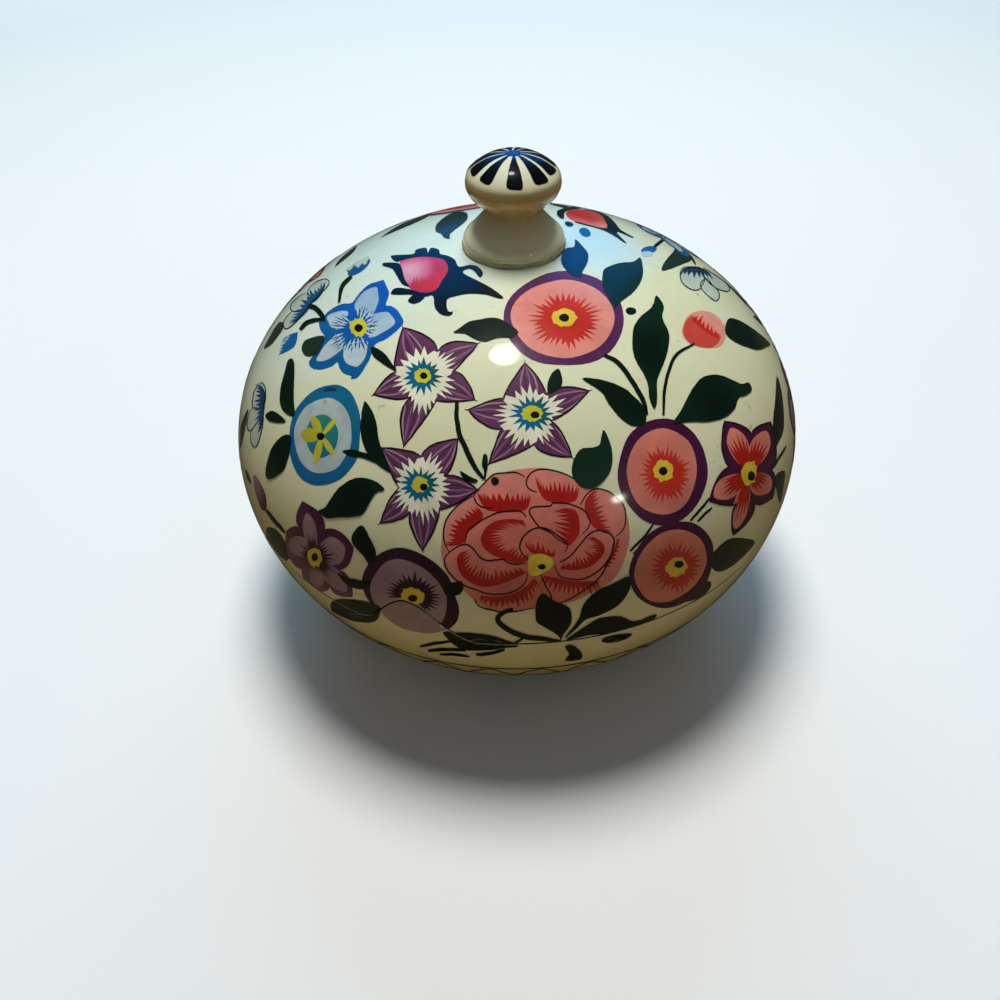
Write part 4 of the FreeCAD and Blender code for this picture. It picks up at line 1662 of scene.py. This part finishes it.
# The sides and the back: each motif with its pixel, then azimuth, height, turn, size and mirroring
ALL_ROUND = [
    ("violet_right", violet, (318, 555), -11, 45, 20, 1.0, -1),
    ("star_flower_side_low", star_low, (428, 497), 14, 45, 30, 1.0, 1),
    ("rose_back_right", rose, (537, 541), 44, 49, 15, 0.92, -1),
    ("rosette_back_low", rosette_middle, (662, 470), 75, 45, 0, 1.0, 1),
    ("red_flower_back", red_flower, (742, 475), 98, 45, -10, 0.95, -1),
    ("star_flower_back_low", star_right, (532, 414), 121, 45, 40, 0.9, 1),
    ("rose_back_left", rose, (537, 541), 149, 48.5, -12, 0.85, 1),
    ("rosette_side_left", rosette_low, (672, 563), 174, 43, 60, 0.9, -1),
    ("red_bud_side", red_bud, (704, 330), 20, 59, 30, 1.0, 1),
    ("blue_flower_back", blue_flower, (350, 330), 33, 67.6, 60, 1.0, 1),
    ("star_flower_back_right", star_right, (532, 414), 73, 64, 10, 0.9, -1),
    ("rosette_back_top", rosette_top, (564, 319), 108, 71.5, 0, 0.78, 1),
    ("star_flower_back_left", star_low, (428, 497), 128, 62, 25, 0.85, -1),
    ("salmon_flower_left", red_flower, (742, 475), 157, 63, 70, 0.62, 1),
    ("ring_flower_back", ring_flower, (325, 435), 99, 61.5, 20, 0.9, 1),
    ("salmon_bud", salmon_bud, (0, 0), 41, 74.1, 131, 1.0, 1),
    ("blue_dab", blue_dab, (10, -38), 41, 74.1, 131, 1.0, 1),
    ("leaf_behind_knob", single_leaf, (0, 0), 68, 72.6, 36, 0.8, 1),
    ("leaf_rim_left", single_leaf, (0, 0), 134, 70.9, 175, 1.3, 1),
    ("leaf_rim_far_left", single_leaf, (0, 0), 157, 67.6, 175, 0.8, 1),
    ("leaf_rim_right", single_leaf, (0, 0), 9, 60.2, 115, 0.85, 1),
    ("sprig_1", sprig(60, 3, 12), (0, -40), 60, 58, 0, 0.8, 1),
    ("sprig_2", sprig(60, 3, -12), (0, -40), 86, 54, 10, 0.8, 1),
    ("sprig_3", sprig(60, 3, 12), (0, -40), 109, 54, -10, 0.8, -1),
    ("sprig_4", sprig(70, 4, -16), (0, -40), 134, 56, 10, 0.8, 1),
    ("sprig_5", sprig(60, 3, 16), (0, -40), 160, 59, -20, 0.8, 1),
    ("sprig_6", sprig(60, 3, 14), (0, -40), 168, 55, -30, 0.7, 1),
    ("sprig_7", sprig(50, 3, 10), (0, -30), 5, 55, 10, 0.8, 1),
    ("sprig_8", sprig(40, 2, 10), (0, -20), 90, 72.5, 90, 0.8, 1),
    ("sprig_9", sprig(50, 2, 10), (0, -20), 141, 64, -60, 0.7, 1),
    ("leaves_back_low_1", greenery("bottom"), (570, 620), 60, 37, 0, 0.9, -1),
    ("leaves_back_low_2", greenery("bottom"), (570, 620), 135, 37, 0, 0.9, 1),
    ("leaves_back_low_3", greenery("star_low"), (351, 498), 87, 36, 160, 0.9, 1),
    ("leaves_back_low_4", greenery("star_low"), (351, 498), 29, 37, 200, 0.9, -1),
    ("leaves_back_low_5", greenery("star_low"), (351, 498), 163, 37, 150, 0.9, 1),
    ("leaves_back_low_6", greenery("star_low"), (351, 498), 109, 36, 190, 0.8, 1),
    ("leaves_back_low_7", greenery("star_low"), (351, 498), 1, 37, 150, 0.8, 1),
]


def paint_all_round():
    """The flowers and leaves on the sides and the back of the lid."""
    for seed, (name, paint, pixel, *place) in enumerate(ALL_ROUND):
        brush = Brush(ALL_ROUND_SEED + seed)
        paint(brush)
        low = LOW_LEAF_COAT if name.startswith(("sprig", "leaves", "leaf")) else FLOWER_COAT
        brush.lay(name, "lid", *elsewhere(pixel, *place), base=low, keep=above_seam)


def paint_across_seam():
    """The motifs that the seam cuts: one half on the lid, the other on the base."""
    for name, paint, pixel, base in (("lavender_flower", lavender_disc, (413, 595), FLOWER_COAT),
                                     ("leaf_seam_left", greenery("seam_left"), (355, 610), LEAF_COAT),
                                     ("leaf_tab", greenery("tab"), (465, 643), LEAF_COAT),
                                     ("leaf_under_seam", greenery("under_seam"), (590, 648), LEAF_COAT)):
        for body, keep in (("lid", above_seam), ("base", below_seam)):
            brush = Brush(SEAM_SEED)
            paint(brush)
            brush.lay(name + "_" + body, body, *on_photo(*pixel), base=base, keep=keep)


# The bowl's band: a thin line and the ring of arches under it, in millimetres
BAND_RADIUS = 50.0 * MM
BAND_HEIGHT = 21.3
BAND_LINE = 0.7
BAND_WAVER = 0.3
BAND_STEPS = 240
ARCH_TOP = 20.6
ARCH_FOOT = 15.0
ARCH_LINE = 0.55
ARCHES = 34
FIRST_FOOT = -92.0


def bowl_band():
    """The thin line round the bowl with its ring of arches."""
    brush = Brush(BAND_SEED)
    length = TURN * BAND_RADIUS / MM
    ring = []
    for i in range(BAND_STEPS + 1):
        angle = TURN * i / BAND_STEPS
        waver = BAND_WAVER * noise.noise(Vector((5 * math.sin(angle), 5 * math.cos(angle), 0)))
        ring.append(Vector((length * angle / TURN, BAND_HEIGHT + waver)))
    brush.fill(ribbon(ring, BAND_LINE, start=1, end=1), INK)
    step = length / ARCHES
    for i in range(ARCHES):
        start = (i + FIRST_FOOT / 360 * ARCHES + brush.rng.uniform(-0.05, 0.05)) * step
        arc = [
            (start, ARCH_FOOT),
            (start + 0.2 * step, ARCH_FOOT + 0.6 * (ARCH_TOP - ARCH_FOOT)),
            (start + 0.5 * step, ARCH_TOP),
            (start + 0.8 * step, ARCH_FOOT + 0.6 * (ARCH_TOP - ARCH_FOOT)),
            (start + step, ARCH_FOOT),
        ]
        brush.fill(ribbon(shaky(smooth(arc, closed=False), 0.25, 0.5), ARCH_LINE, start=0.7, end=0.5), INK, 1)
    brush.lay("bowl_band", "base", round_bowl, base=2, cuts=BAND_CUT)


# Floor, lights and camera. The floor is one thing to the camera, another to the varnish and a third
# to the light that it throws back; far away it fades into white.
FLOOR_HALF = 3
FLOOR_PALE = ((228, 228, 226), (234, 234, 232))
FLOOR_MIRRORED = (58, 48, 32)
FLOOR_BOUNCE = (186, 156, 108)
FLOOR_FADE = (0.45, 1.6)
BACKDROP = (255, 255, 255)
ROOM = (86, 92, 100)
ROOM_MIRRORED = (38, 40, 42)
WINDOW_MIRRORED = (42, 126, 214)
# The edges between which the window is mirrored: the axis, and where its sheen starts and is full
WINDOW_EDGES = (("Y", 0.45, 0.65), ("Z", 0.1, 0.25), ("Z", 0.82, 0.7), ("X", -0.45, -0.2), ("X", 0.48, 0.36))
# Each lamp's name, place, size, power and colour, and whether the varnish mirrors it
LAMPS = (
    ("overhead", (-0.02, 0.2, 0.885), 0.34, 7.25, (1, 0.99, 0.96), False),
    ("overhead_glint", (-0.036, 0.12, 0.907), 0.13, 0.5, (1, 1, 1), True),
    ("window", (0.0, 1.6, 0.75), 1.5, 17.0, (0.26, 0.7, 1), False),
    ("side_glint", (0.51, -0.62, 0.445), 0.06, 0.2, (1, 0.97, 0.9), True),
)


def studio_floor():
    """A plain pale floor, which gives back little light of its own."""
    bm = bmesh.new()
    bmesh.ops.create_grid(bm, x_segments=1, y_segments=1, size=FLOOR_HALF)
    shader = Shader("pale_floor")
    path = shader.add("LightPath").outputs
    pale = shader.blend(shader.noise(3), *FLOOR_PALE)
    bounce = shader.blend(path["Is Glossy Ray"], FLOOR_BOUNCE, FLOOR_MIRRORED)
    tone = shader.blend(path["Is Camera Ray"], bounce, pale)
    reach = shader.add("VectorMath", {"operation": "LENGTH"}, Vector=shader.place).outputs["Value"]
    far = shader.add("Math", {"operation": "MULTIPLY"}, _0=shader.span(reach, *FLOOR_FADE),
                     _1=path["Is Camera Ray"])
    floor = made_object("floor", bm, shader.finish(Base_Color=tone, Roughness=0.9,
                                                   Emission_Color=(1, 1, 1, 1),
                                                   Emission_Strength=far.outputs["Value"]))


def lamp(name, place, size, power, colour, mirrored):
    """A soft round lamp that looks at the box."""
    light = bpy.data.lights.new(name, "AREA")
    light.shape = "DISK"
    light.size = size
    light.energy = power
    light.color = colour
    holder = bpy.data.objects.new(name, light)
    holder.location = place
    holder.rotation_euler = (Vector(place) - Vector((0, 0, EQUATOR))).to_track_quat("Z", "Y").to_euler()
    holder.visible_glossy = mirrored
    bpy.context.scene.collection.objects.link(holder)


def studio_light():
    """One soft lamp overhead, a pale blue window behind and small glints."""
    for setting in LAMPS:
        lamp(*setting)
    sky = Shader("studio", "worlds")
    path = sky.add("LightPath").outputs
    ways = sky.add("SeparateXYZ", Vector=sky.add("TexCoord").outputs["Generated"]).outputs

    sheen = 1.0
    for axis, low, high in WINDOW_EDGES:
        edge = sky.add("MapRange", {"interpolation_type": "SMOOTHSTEP"}, Value=ways[axis], From_Min=low,
                       From_Max=high)
        sheen = sky.add("Math", {"operation": "MULTIPLY"}, _0=sheen,
                        _1=edge.outputs["Result"]).outputs["Value"]
    mirrored = sky.blend(sheen, ROOM_MIRRORED, WINDOW_MIRRORED)
    soft = sky.blend(path["Is Glossy Ray"], ROOM, mirrored)
    bpy.context.scene.world = sky.finish(Color=sky.blend(path["Is Camera Ray"], soft, BACKDROP))


def photo_camera():
    """The camera as the photo was taken."""
    data = bpy.data.cameras.new("photo_camera")
    data.sensor_width = SENSOR
    data.lens = SENSOR * FOCAL_PX / FRAME_PX
    data.clip_start = 0.01
    camera = bpy.data.objects.new("photo_camera", data)
    axes = Matrix((RIGHT, UP, BACK)).transposed()
    camera.matrix_world = Matrix.Translation(EYE) @ axes.to_4x4()
    bpy.context.scene.collection.objects.link(camera)
    bpy.context.scene.camera = camera
    bpy.context.scene.view_settings.view_transform = "Standard"


lid_painted_shell()
base_painted_shell()
knob_stripes(turned_knob())
knob_glue_bead()
dark_inside()
paint_front()
paint_all_round()
paint_across_seam()
bowl_band()
studio_floor()
studio_light()
photo_camera()
